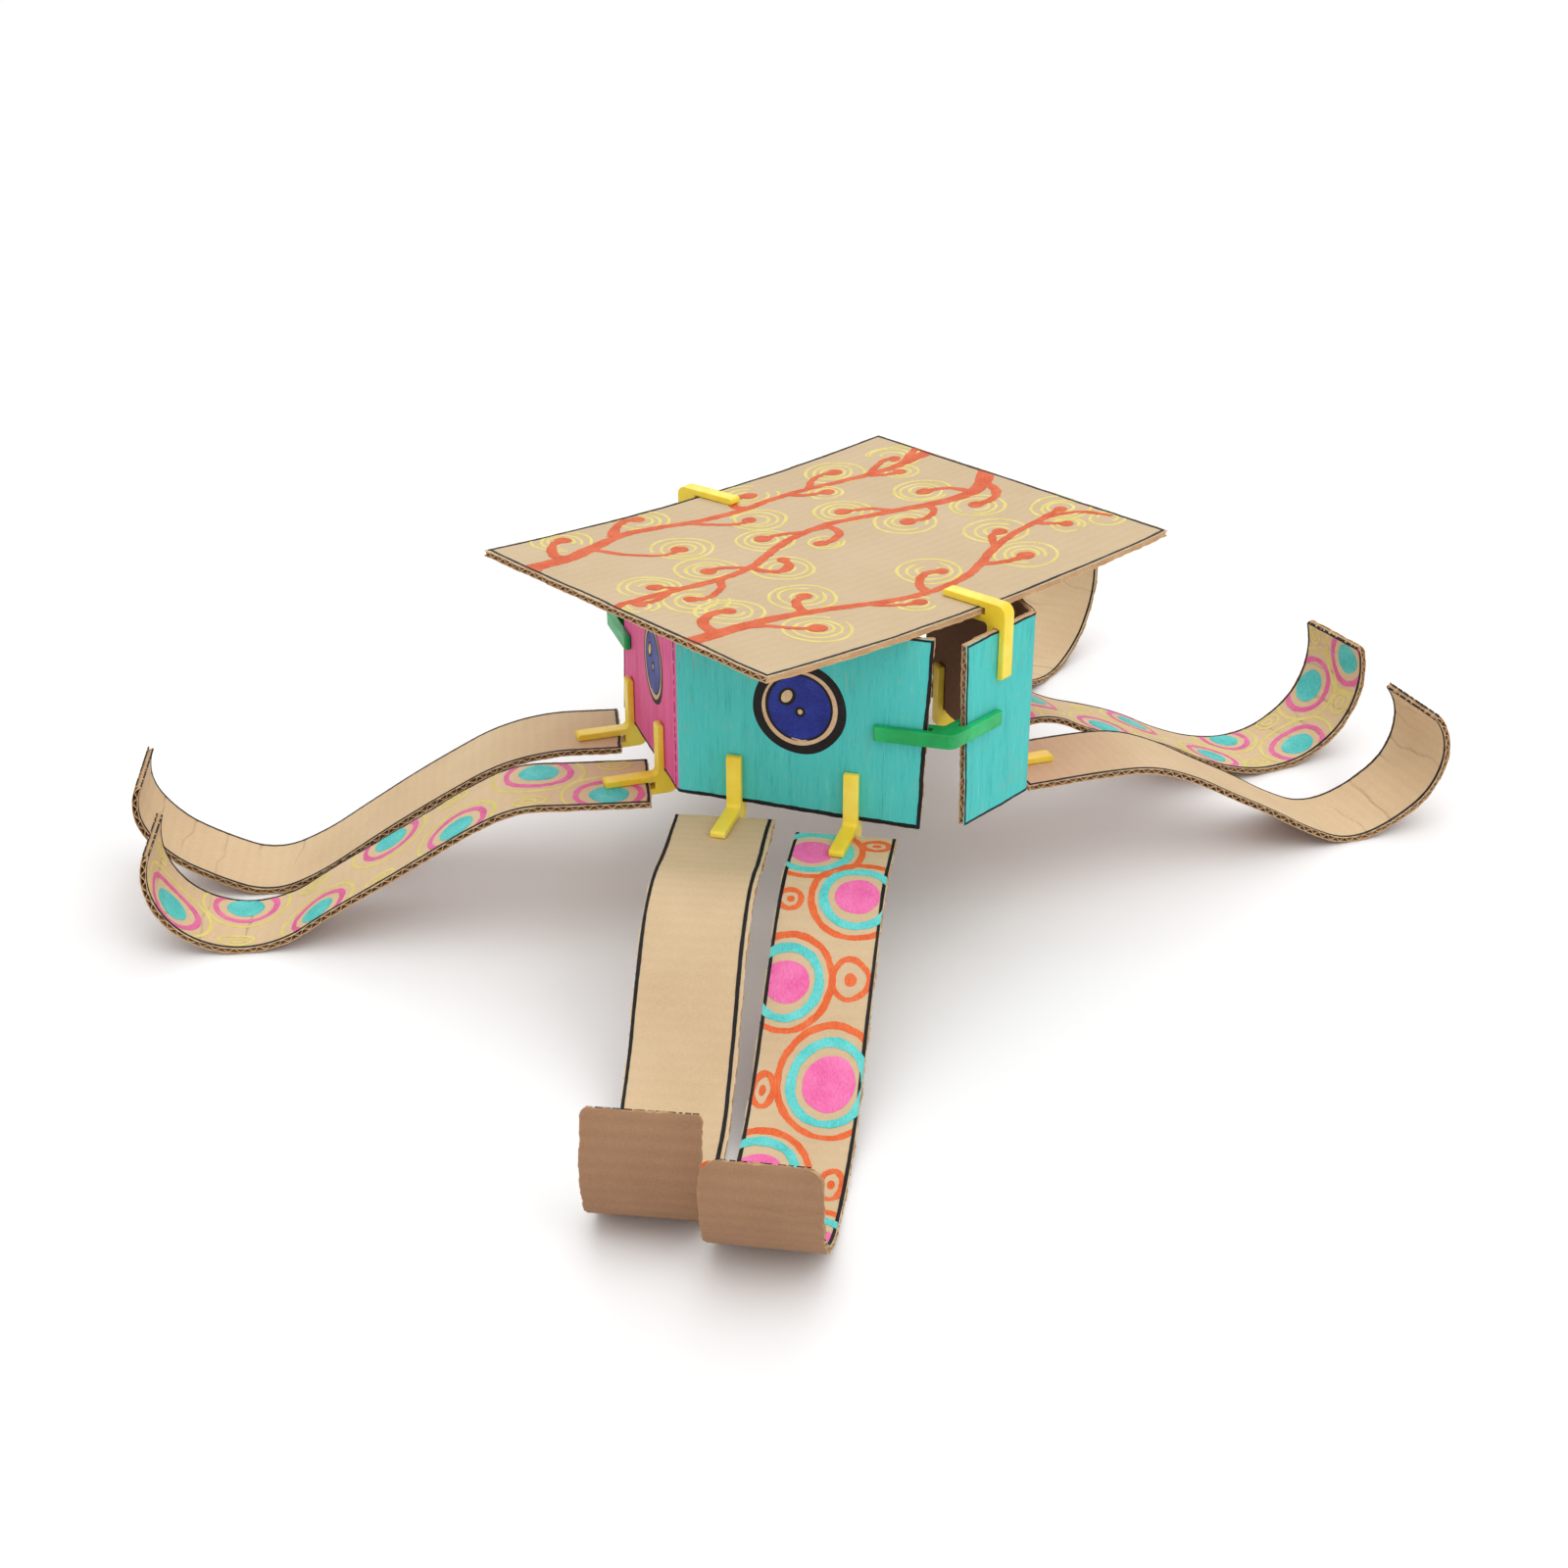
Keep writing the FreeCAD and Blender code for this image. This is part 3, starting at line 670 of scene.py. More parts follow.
def wall_paint(name, base, dark, light, bare, bare_amount=0.62):
    """Poster paint brushed up and down, thin enough for some board to show."""
    n = Nodes(name)
    st = n.attr("st")
    fine = n.noise(n.vec(st, (1.5, 0.07, 1.0)), 1.0, 5, 0.7, 0.15)
    wide = n.noise(n.vec(st, (0.22, 0.014, 1.0)), 1.0, 3, 0.55, 0.2)
    s = n.math("ADD", n.math("MULTIPLY", fine, 0.62), n.math("MULTIPLY", wide, 0.38))
    col = n.ramp(s, [(0.34, dark), (0.48, base), (0.56, base), (0.70, light)])
    miss = n.noise(n.vec(st, (0.95, 0.055, 1.0)), 1.0, 4, 0.75, 0.1)
    patch = n.noise(st, 0.035, 2, 0.5)
    gap = n.math("ADD", n.math("MULTIPLY", miss, 0.75), n.math("MULTIPLY", patch, 0.25))
    col = n.mix(n.ramp(gap, [(bare_amount, 0.0), (bare_amount + 0.07, 0.75)]), col, bare)
    dots = n.noise(st, 0.55, 1, 0.5)
    col = n.mix(n.ramp(dots, [(0.78, 0.0), (0.81, 0.8)]), col, tuple(x * 0.4 for x in dark[:3]) + (1.0,))
    n.put(n.b.inputs["Base Color"], col)
    n.put(n.b.inputs["Roughness"], n.ramp(s, [(0.3, 0.78), (0.7, 0.55)]))
    n.b.inputs["Specular IOR Level"].default_value = 0.35
    n.bump(s, 0.4, 0.00035)
    return n.m


def brush_paint(name, base, dark, light, rough=0.62, scale=1.0, fleck=True):
    n = Nodes(name)
    st = n.attr("st")
    a = n.noise(n.vec(st, (0.55 * scale, 1.3 * scale, 1.0)), 1.0, 4, 0.65, 0.6)
    b = n.noise(st, 0.09 * scale, 2, 0.5)
    s = n.math("ADD", n.math("MULTIPLY", a, 0.6), n.math("MULTIPLY", b, 0.4))
    col = n.ramp(s, [(0.36, dark), (0.5, base), (0.66, light)])
    if fleck:
        d = n.noise(st, 0.8, 2, 0.5)
        col = n.mix(n.ramp(d, [(0.76, 0.0), (0.82, 0.5)]), col, tuple(x * 0.5 for x in dark[:3]) + (1.0,))
    n.put(n.b.inputs["Base Color"], col)
    n.put(n.b.inputs["Roughness"], n.ramp(s, [(0.3, min(1.0, rough + 0.1)), (0.7, rough - 0.08)]))
    n.b.inputs["Specular IOR Level"].default_value = 0.35
    n.bump(s, 0.3, 0.0002)
    return n.m


def plastic(name, base, dark, light):
    n = Nodes(name)
    o = n.obj()
    a = n.noise(o, 180.0, 3, 0.6)
    b = n.noise(o, 35.0, 2, 0.5)
    col = n.ramp(n.math("ADD", n.math("MULTIPLY", a, 0.3), n.math("MULTIPLY", b, 0.7)), [(0.35, dark), (0.5, base), (0.65, light)])
    fine = n.noise(o, 2200.0, 3, 0.6)
    n.put(n.b.inputs["Base Color"], col)
    n.put(n.b.inputs["Roughness"], n.ramp(a, [(0.3, 0.46), (0.7, 0.34)]))
    n.b.inputs["Specular IOR Level"].default_value = 0.45
    n.b.inputs["Subsurface Weight"].default_value = 0.12
    n.b.inputs["Subsurface Radius"].default_value = (0.002, 0.0015, 0.0008)
    n.b.inputs["Subsurface Scale"].default_value = 1.0
    n.bump(n.math("ADD", n.math("MULTIPLY", fine, 0.5), n.math("MULTIPLY", a, 0.5)), 0.12, 0.0002)
    return n.m


K_BASE, K_DARK, K_LIGHT = srgb(214, 187, 148), srgb(198, 168, 128), srgb(229, 206, 172)
# painted shade: the roof's kraft is a darker copy of the strips' kraft, so the roof top reads less lit
M_ROOF_SHADED = kraft("roof_liner_painted_shade", srgb(200, 177, 144), srgb(189, 164, 129), srgb(211, 190, 158), "t", 0.035)
M_STRIP = kraft("strip_liner", K_BASE, K_DARK, K_LIGHT, "s", 0.03, 0.42)
# painted shade: the strips' undersides are a darker copy of the kraft, for the shade on the sides turned from the light
M_UNDER_SHADED = kraft("strip_underside_painted_shade", srgb(160, 122, 92), srgb(142, 104, 76), srgb(178, 140, 108), "s", 0.06, 0.5)
# painted shade: the walls' insides are a dark copy of the kraft, for the shade under the roof
M_INSIDE_SHADED = kraft("wall_inside_painted_shade", srgb(128, 92, 68), srgb(108, 76, 56), srgb(146, 108, 82), "t", 0.05)
# painted shade: the roof's underside is a darker copy of the kraft, for the shade beneath it
M_ROOF_UNDER_SHADED = kraft("roof_underside_painted_shade", srgb(168, 132, 100), srgb(150, 114, 84), srgb(184, 148, 116), "t", 0.05)
M_EDGE = flute_mat("cut_edge", srgb(226, 196, 156), srgb(176, 140, 102))
M_FLUTE = flute_mat("fluting", srgb(222, 186, 142), srgb(182, 144, 104))
M_TEAL = wall_paint("turquoise_paint", srgb(76, 199, 193), srgb(54, 172, 168), srgb(112, 216, 208), srgb(150, 176, 146), 0.565)
M_PINK = wall_paint("pink_paint", srgb(230, 94, 152), srgb(200, 64, 126), srgb(244, 132, 178), srgb(206, 140, 126), 0.60)
M_BLACK = brush_paint("black_marker", srgb(14, 12, 13), srgb(5, 4, 5), srgb(28, 25, 27), 0.62, fleck=False)
M_CORAL = brush_paint("coral_paint", srgb(206, 88, 38), srgb(192, 71, 26), srgb(218, 107, 55))
M_PALE = brush_paint("pale_yellow_paint", srgb(215, 199, 112), srgb(205, 186, 97), srgb(225, 212, 134))
M_ORANGE = brush_paint("orange_paint", srgb(230, 104, 50), srgb(218, 86, 34), srgb(238, 124, 70))
M_CYAN = brush_paint("cyan_paint", srgb(94, 208, 204), srgb(70, 188, 186), srgb(128, 222, 216))
M_MAGENTA = brush_paint("magenta_paint", srgb(240, 110, 172), srgb(228, 88, 156), srgb(246, 134, 188))
M_CYAN_DEEP = brush_paint("cyan_paint_deep", srgb(78, 192, 188), srgb(57, 171, 169), srgb(110, 207, 201))
M_MAGENTA_DEEP = brush_paint("magenta_paint_deep", srgb(219, 99, 151), srgb(205, 80, 136), srgb(229, 122, 168))
M_BLUE = brush_paint("blue_paint", srgb(24, 42, 140), srgb(14, 28, 112), srgb(40, 60, 162), 0.5)
M_TAN = brush_paint("bare_tan", srgb(216, 184, 146), srgb(202, 168, 128), srgb(228, 200, 164), 0.8)
M_YCLIP = plastic("yellow_plastic", srgb(250, 221, 66), srgb(242, 208, 48), srgb(254, 232, 98))
M_GCLIP = plastic("green_plastic", srgb(12, 172, 90), srgb(6, 152, 76), srgb(34, 188, 108))

# ------------------------------------------------------------ the roof
roof = Roof()


def roof_map(p, q):
    s = (p - 0.5) * ROOF_LONG
    t = (q - 0.5) * ROOF_SHORT
    return s, t


roof_ob = board("roof_sheet", roof, roof_map, 141, 109, "t", [M_ROOF_SHADED, M_ROOF_UNDER_SHADED, M_EDGE, M_FLUTE], seed=11, ruled=36,
                ripple=(0.02, 0.05))
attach(roof_ob, "roof")
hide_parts("roof_panel")


def in_roof(V):
    return np.stack([np.clip(V[:, 0], -ROOF_LONG / 2 + 0.9, ROOF_LONG / 2 - 0.9), np.clip(V[:, 1], -ROOF_SHORT / 2 + 0.9, ROOF_SHORT / 2 - 0.9)], -1)


hl, hs = ROOF_LONG / 2, ROOF_SHORT / 2
outline = []
for k, (a, b) in enumerate((((-hl + 2, -hs + 1.8), (hl - 2, -hs + 1.8)), ((hl - 1.8, -hs + 2), (hl - 1.8, hs - 2)),
                            ((hl - 2, hs - 1.8), (-hl + 2, hs - 1.8)), ((-hl + 2.2, hs - 2), (-hl + 2.2, -hs + 2)))):
    n_ = 14
    wob = wobble(300 + k, [(90, 0.25), (37, 0.2), (15, 0.12)])
    A, B = np.array(a), np.array(b)
    d = (B - A) / np.linalg.norm(B - A)
    pts = [A + (B - A) * i / n_ + np.array([-d[1], d[0]]) * float(wob(np.linalg.norm(B - A) * i / n_)) for i in range(n_ + 1)]
    outline.append(ribbon(pts, [1.3, 1.5, 1.2, 1.4, 1.6, 1.2, 1.4], 300 + k, 0.10))
paint("roof_outline", roof, outline, 3, M_BLACK, "roof", in_roof)

RINGS = [(-100.0, 95.2), (-46.9, 96.6), (-57.5, 49.8), (21.6, 88.8), (1.5, 57.7), (80.7, 82.8), (56.2, 63.2), (120.5, 76.7), (107.4, 55.8),
         (-106.5, 14.6), (-127.3, -2.0), (-100.2, -13.2), (-68.0, 17.6), (-36.7, -5.2), (-16.3, 32.0), (5.2, 8.1), (42.4, 35.9), (55.7, 0.7),
         (94.1, 26.4), (99.0, -11.0), (-97.3, -33.3), (-78.8, -76.6), (-56.7, -40.3), (-19.6, -82.2), (16.2, -56.7), (66.3, -74.5), (79.0, -42.8),
         (126.4, -45.8), (111.4, -63.4), (131.9, -73.1)]
shapes = []
for k, c in enumerate(RINGS):
    r = random.Random(500 + k)
    small = k in (6, 8, 10, 15, 23, 28, 29)
    g = 0.82 if small else 1.0
    gap = r.uniform(0, 360)
    for j, rad in enumerate((6.8, 11.4, 16.2)):
        if small and j == 2:
            continue
        rad = rad * g * r.uniform(0.95, 1.05)
        a0 = gap + r.uniform(-25, 25)
        span = r.choice((300, 330, 360, 360)) if j else r.choice((250, 300, 360))
        shapes.append(ring((c[0] + r.uniform(-0.8, 0.8), c[1] + r.uniform(-0.8, 0.8)), rad, rad * r.uniform(0.9, 1.0), 1.75, 600 + 3 * k + j, a0, a0 + span, 0.12, 0.06))
paint("roof_rings", roof, shapes, 0, M_PALE, "roof", in_roof)

VINES = [
    ([(-139.0, 68.0), (-133.9, 71.0), (-111.7, 72.6), (-94.0, 77.9), (-67.6, 85.0), (-44.5, 81.9), (-24.4, 76.7), (-5.8, 74.6), (7.6, 74.1), (23.5, 75.6), (43.7, 75.3), (62.3, 72.4), (79.9, 68.5), (96.0, 65.8), (110.3, 63.8), (125.8, 65.4), (139.5, 65.6)], [8.5, 7.5, 6.5, 5.0, 4.6, 4.2, 4.6, 4.2, 3.8, 3.8, 4.2, 5.2, 7.0]),
    ([(-139, 1.0), (-132.7, 3.7), (-114.2, 4.6), (-94.2, 4.2), (-73.7, 3.4), (-56.9, 4.8), (-42.3, 8.8), (-27.5, 15.8), (-11.2, 22.4), (5.6, 26.2), (24.4, 27.2), (40.1, 23.2), (60.0, 17.7), (78.2, 11.4), (95.2, 6.5), (108.6, 5.2), (121.4, 8.5), (139.3, 20.4)], [3.8, 4.2, 4.4, 4.0, 4.2, 4.4, 4.0, 4.2, 4.4, 5.0, 5.8, 7.4, 9.0]),
    ([(-139, -53.6), (-136.5, -53.5), (-121.4, -52.6), (-103.6, -52.4), (-86.5, -53.4), (-68.4, -57.1), (-51.6, -62.5), (-35.3, -68.7), (-18.2, -74.0), (-0.3, -76.1), (17.4, -75.0), (31.7, -71.2), (45.8, -64.9), (59.5, -58.4), (76.5, -52.7), (92.0, -49.9), (106.2, -48.8), (119.1, -50.6), (129.8, -58.3), (135.6, -72.0)], [8.0, 7.0, 6.0, 4.8, 4.4, 4.2, 4.0, 4.0, 4.2, 4.4, 3.8, 3.4, 3.0, 2.6]),
]
HOOKS = [
    ([(-114.5, 72.8), (-116.1, 79.5), (-110.7, 89.2), (-104.1, 95.3), (-98.2, 96.6)], [6.5, 5.0, 4.0, 4.4], 3.9),
    ([(-73.8, 86.0), (-63.4, 96.3), (-53.4, 101.5), (-46.6, 99.6)], [6.0, 4.6, 4.2, 4.4], 3.6),
    ([(-95.0, 76.5), (-86.9, 61.6), (-76.7, 51.2), (-67.8, 46.9), (-59.0, 49.2)], [4.0, 2.8, 2.4, 3.0], 4.0),
    ([(9.1, 73.8), (5.7, 79.9), (9.8, 87.5), (18.8, 90.5), (23.2, 88.4)], [5.5, 4.8, 4.4, 4.6], 3.8),
    ([(-29.7, 77.3), (-20.2, 66.2), (-9.8, 59.1), (-2.1, 60.0)], [3.5, 2.8, 2.8, 3.2], 3.4),
    ([(53.8, 73.8), (62.1, 81.2), (73.1, 85.0), (81.3, 82.4)], [4.5, 3.2, 3.0, 3.4], 3.6),
    ([(38.3, 75.9), (46.2, 67.6), (57.4, 63.0)], [4.0, 3.2, 3.0], 3.4),
    ([(93.7, 66.6), (105.0, 72.8), (113.6, 75.5), (118.6, 73.2)], [4.0, 3.4, 3.2, 3.4], 3.3),
    ([(91.6, 65.0), (98.4, 59.2), (106.8, 56.4)], [3.8, 3.2, 3.0], 3.2),
    ([(117.0, 64.0), (130.1, 71.4), (138.1, 74.5)], [4.5, 4.0, 4.0], 2.6),
    ([(-95.8, 4.4), (-100.5, 10.3), (-104.6, 13.3)], [3.4, 2.8, 3.0], 3.6),
    ([(-103.9, 3.8), (-114.9, -1.0), (-126.0, -0.8)], [3.6, 3.0, 3.2], 3.2),
    ([(-71.4, 3.6), (-78.8, -6.0), (-89.0, -11.9), (-97.1, -12.6), (-101.1, -9.8)], [4.4, 3.4, 3.2, 3.6], 3.2),
    ([(-50.3, 6.4), (-57.0, 13.2), (-63.4, 15.8), (-69.3, 15.2)], [3.8, 3.0, 3.0, 3.4], 3.8),
    ([(-49.4, 7.0), (-46.1, -2.7), (-39.5, -7.6), (-31.5, -3.4), (-28.6, 3.9)], [4.0, 4.2, 4.8, 4.0], 3.0),
    ([(7.6, 26.7), (-2.3, 31.4), (-10.1, 33.8), (-15.7, 34.4)], [3.8, 3.0, 3.0, 3.2], 4.0),
    ([(12.7, 26.8), (21.9, 23.1), (19.6, 13.7), (10.4, 8.4), (2.0, 9.0)], [4.4, 4.0, 4.0, 3.8], 3.4),
    ([(63.3, 17.2), (56.6, 27.7), (49.0, 32.5), (42.5, 35.4)], [3.8, 3.2, 3.0, 3.4], 3.8),
    ([(82.9, 10.0), (76.2, 0.0), (66.3, -2.8), (57.2, 0.6)], [4.4, 3.4, 3.4, 3.6], 4.0),
    ([(111.6, 5.6), (108.6, 17.2), (101.2, 22.8), (94.3, 25.6)], [5.0, 3.4, 3.2, 3.6], 3.8),
    ([(125.5, 10.3), (123.5, 0.4), (116.4, -7.6), (107.0, -10.0), (99.6, -8.6)], [5.8, 4.6, 4.2, 4.2], 3.8),
    ([(-121.6, -52.2), (-120.3, -43.1), (-114.3, -34.5), (-104.6, -31.0), (-97.5, -33.0)], [6.4, 5.2, 4.8, 4.6], 3.2),
    ([(-107.4, -52.1), (-94.6, -60.1), (-87.6, -69.1), (-79.4, -75.5)], [4.4, 3.2, 2.8, 3.2], 4.2),
    ([(-69.5, -57.4), (-67.6, -49.9), (-62.3, -42.8), (-55.1, -40.5)], [5.2, 4.4, 4.0, 4.2], 3.4),
    ([(-37.8, -68.5), (-31.8, -75.6), (-25.4, -79.8), (-17.2, -82.4)], [3.6, 2.8, 2.8, 3.2], 3.3),
    ([(-5.3, -75.9), (-1.9, -67.0), (5.4, -60.0), (14.4, -57.4), (19.6, -60.7)], [5.0, 4.0, 3.8, 4.0], 3.2),
    ([(40.6, -67.2), (48.9, -72.3), (57.1, -75.4), (65.8, -75.9)], [4.6, 3.6, 3.6, 4.0], 4.2),
    ([(62.7, -57.0), (69.0, -49.6), (74.1, -44.6), (80.2, -43.9)], [4.0, 3.6, 3.6, 3.8], 3.6),
    ([(105.0, -49.4), (114.8, -46.8), (124.4, -46.8)], [3.6, 3.0, 3.0], 3.2),
    ([(102.5, -50.0), (108.1, -58.0), (112.2, -62.5)], [3.6, 3.2, 3.2], 3.0),
]
shapes = []
for k, (pts, w) in enumerate(VINES):
    shapes.append(ribbon(pts, [x * 1.18 for x in w], 700 + k, 0.14))
paint("roof_vines", roof, shapes, 1, M_CORAL, "roof", in_roof)
shapes = []
for k, (pts, w, r_) in enumerate(HOOKS):
    shapes.append(ribbon(pts, [x * 1.12 for x in w], 740 + k, 0.16, caps=False))
paint("roof_hooks", roof, shapes, 2, M_CORAL, "roof", in_roof)
shapes = [blob(pts[-1], r_ * 1.2, r_ * 1.1, 800 + k, 0.10) for k, (pts, w, r_) in enumerate(HOOKS)]
paint("roof_berries", roof, shapes, 3, M_CORAL, "roof", in_roof)

# ------------------------------------------------------------ the head walls
def sheet_map(len1, len2, low1, low2a, low2b, top, lean_start, lean_end, flat_n=None):
    total = len1 + len2

    def f(p, q):
        s = p * total
        on2 = np.clip((s - len1) / len2, 0, 1)
        on1 = np.clip((len1 - s) / len1, 0, 1)
        low = np.where(s <= len1, low1, low2a + (low2b - low2a) * on2)
        t = low + (top - low) * q
        rise = (t - low) / (top - low)
        s = s + lean_end * rise * on2 + lean_start * rise * on1
        return s, t
    return f


HEAD = {
    "head_front_sheet": (Wall(P0, dL, LEN_LEFT, dF), sheet_map(LEN_LEFT, LEN_FRONT, FRONT_BOTTOM_LEFT, FRONT_BOTTOM_LEFT, FRONT_BOTTOM_RIGHT, WALL_TOP_FRONT, LEFT_LEAN, FRONT_LEAN), LEN_LEFT, LEN_FRONT, M_PINK, M_TEAL),
    "head_right_sheet": (Wall(P3, dS, LEN_SIDE, dR), sheet_map(LEN_SIDE, LEN_RIGHT, WALL_BOTTOM, WALL_BOTTOM, WALL_BOTTOM, WALL_TOP, -SIDE_LEAN, 0.0), LEN_SIDE, LEN_RIGHT, M_TEAL, M_PINK),
    "head_back_sheet": (Wall(P6, dB, LEN_BACK, dBL), sheet_map(LEN_BACK, LEN_BACK_LEFT, WALL_BOTTOM, WALL_BOTTOM, WALL_BOTTOM, WALL_TOP, 0.0, 0.0), LEN_BACK, LEN_BACK_LEFT, M_TEAL, M_PINK),
}


def line_pts(a, b, seed, amp=0.3, n=9):
    a, b = np.array(a, float), np.array(b, float)
    L = np.linalg.norm(b - a)
    d = (b - a) / L
    f = wobble(seed, [(70, amp), (27, amp * 0.7), (11, amp * 0.4)])
    return [a + (b - a) * i / n + np.array([-d[1], d[0]]) * float(f(L * i / n)) for i in range(n + 1)]


for k, (node, (chart, smap, l1, l2, m1, m2)) in enumerate(HEAD.items()):
    ob = board(node.replace("head_", "wall_"), chart, smap, int((l1 + l2) / 1.6), 61, "t", [M_PINK, M_TEAL, M_INSIDE_SHADED, M_EDGE, M_FLUTE],
               seed=40 + k, outer_mat=(lambda s, t, l=l1, a=0 if m1 is M_PINK else 1, b=0 if m2 is M_PINK else 1: np.where(s < l, a, b)),
               inner_mat=2, side_mat=3, flute_mat=4, ruled=60, ripple=(0.02, 0.04))
    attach(ob, "head")
    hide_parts(node)
    # marker lines just inside the panels' edges
    def at(p, q):
        s, t = smap(np.array(p, float), np.array(q, float))
        return float(s), float(t)
    tot = l1 + l2
    i1 = 1.1 / tot
    jl, jh = 1.0 / 98, 1.0 / 98
    fold = l1 / tot
    w_low, w_side = (2.1, 1.9) if k == 0 else (1.1, 1.2)
    shapes = [
        ribbon(line_pts(at(fold, jl), at(1 - i1, jl), 900 + k, 0.2), [w_low * 0.85, w_low, w_low * 1.1, w_low], 900 + k, 0.10),
        ribbon(line_pts(at(1 - i1, jl), at(1 - i1, 1 - jh), 910 + k, 0.2), [w_side, w_side * 1.05, w_side * 0.8], 910 + k, 0.10),
        ribbon(line_pts(at(i1, jl), at(fold, jl), 920 + k, 0.2), [1.1, 1.3, 1.1], 920 + k, 0.10),
        ribbon(line_pts(at(i1, jl), at(i1, 1 - jh), 930 + k, 0.2), [1.0, 1.2, 1.0], 930 + k, 0.10),
        ribbon(line_pts(at(i1, 1 - jh), at(fold, 1 - jh), 940 + k, 0.2), [1.0, 1.2, 1.0], 940 + k, 0.10),
        ribbon(line_pts(at(fold, 1 - jh), at(1 - i1, 1 - jh), 950 + k, 0.2), [1.0, 1.2, 1.0], 950 + k, 0.10),
    ]
    paint(node.replace("head_", "outline_"), chart, shapes, 1, M_BLACK, "head")
    if k == 0:
        # a dashed dark line where the pink meets the fold
        shapes = []
        r = random.Random(77)
        z = 84.0
        while z < 174:
            ln = r.uniform(2.0, 7.0)
            shapes.append(ribbon([(l1 - 3.2 + r.uniform(-0.3, 0.3), z), (l1 - 3.0 + r.uniform(-0.3, 0.3), z + ln / 2), (l1 - 3.2 + r.uniform(-0.3, 0.3), z + ln)], [0.5, 0.8, 0.4], 960 + int(z), 0.2))
            z += ln + r.uniform(0.8, 3.0)
        paint("fold_pencil", chart, shapes, 1, M_BLACK, "head")


def eye(name, chart, c, k=1.0, rim=23.6, seed=0, narrow=1.0):
    cx, cz = c

    def blob(c, rs, rt, *a, **kw):
        c = (cx + (c[0] - cx) * narrow, c[1])
        return spot(c, rs * narrow, rt, *a, **kw)

    paint(name + "_rim", chart, [blob(c, rim * k, rim * 1.02 * k, seed, 0.025)], 0, M_BLACK, "head")
    paint(name + "_white", chart, [blob((cx - 0.5, cz + 0.8), 19.0 * k, 19.9 * k, seed + 1, 0.02)], 1, M_TAN, "head")
    paint(name + "_line", chart, [blob((cx - 0.3, cz + 1.2), 17.0 * k, 18.0 * k, seed + 2, 0.02)], 2, M_BLACK, "head")
    paint(name + "_iris", chart, [blob((cx - 0.2, cz + 1.2), 15.7 * k, 16.7 * k, seed + 3, 0.02)], 3, M_BLUE, "head")
    paint(name + "_marks", chart, [blob((cx - 6.6 * k, cz + 6.4 * k), 4.2 * k, 5.2 * k, seed + 4, 0.04, turn=-30),
                                   blob((cx + 0.0, cz - 1.2 * k), 2.6 * k, 2.8 * k, seed + 5, 0.05)], 4, M_BLACK, "head")
    paint(name + "_glints", chart, [blob((cx - 6.6 * k, cz + 6.6 * k), 2.5 * k, 3.7 * k, seed + 6, 0.05, turn=-30),
                                    blob((cx + 0.1, cz - 1.1 * k), 1.2 * k, 1.4 * k, seed + 7, 0.05)], 5, M_TAN, "head")
    paint(name + "_shine", chart, [ribbon([(cx - 4.2 * k, cz - 15.6 * k), (cx, cz - 16.4 * k), (cx + 3.6 * k, cz - 15.9 * k)], [0.5, 0.8, 0.4], seed + 8, 0.2)], 5, M_TAN, "head")


front_chart = HEAD["head_front_sheet"][0]
eye("eye_front", front_chart, (LEN_LEFT + 63.4, 135.2), 1.0, 23.6, 1000)
eye("eye_left", front_chart, (65.5, 134.5), 0.98, 21.4, 1040, 0.84)

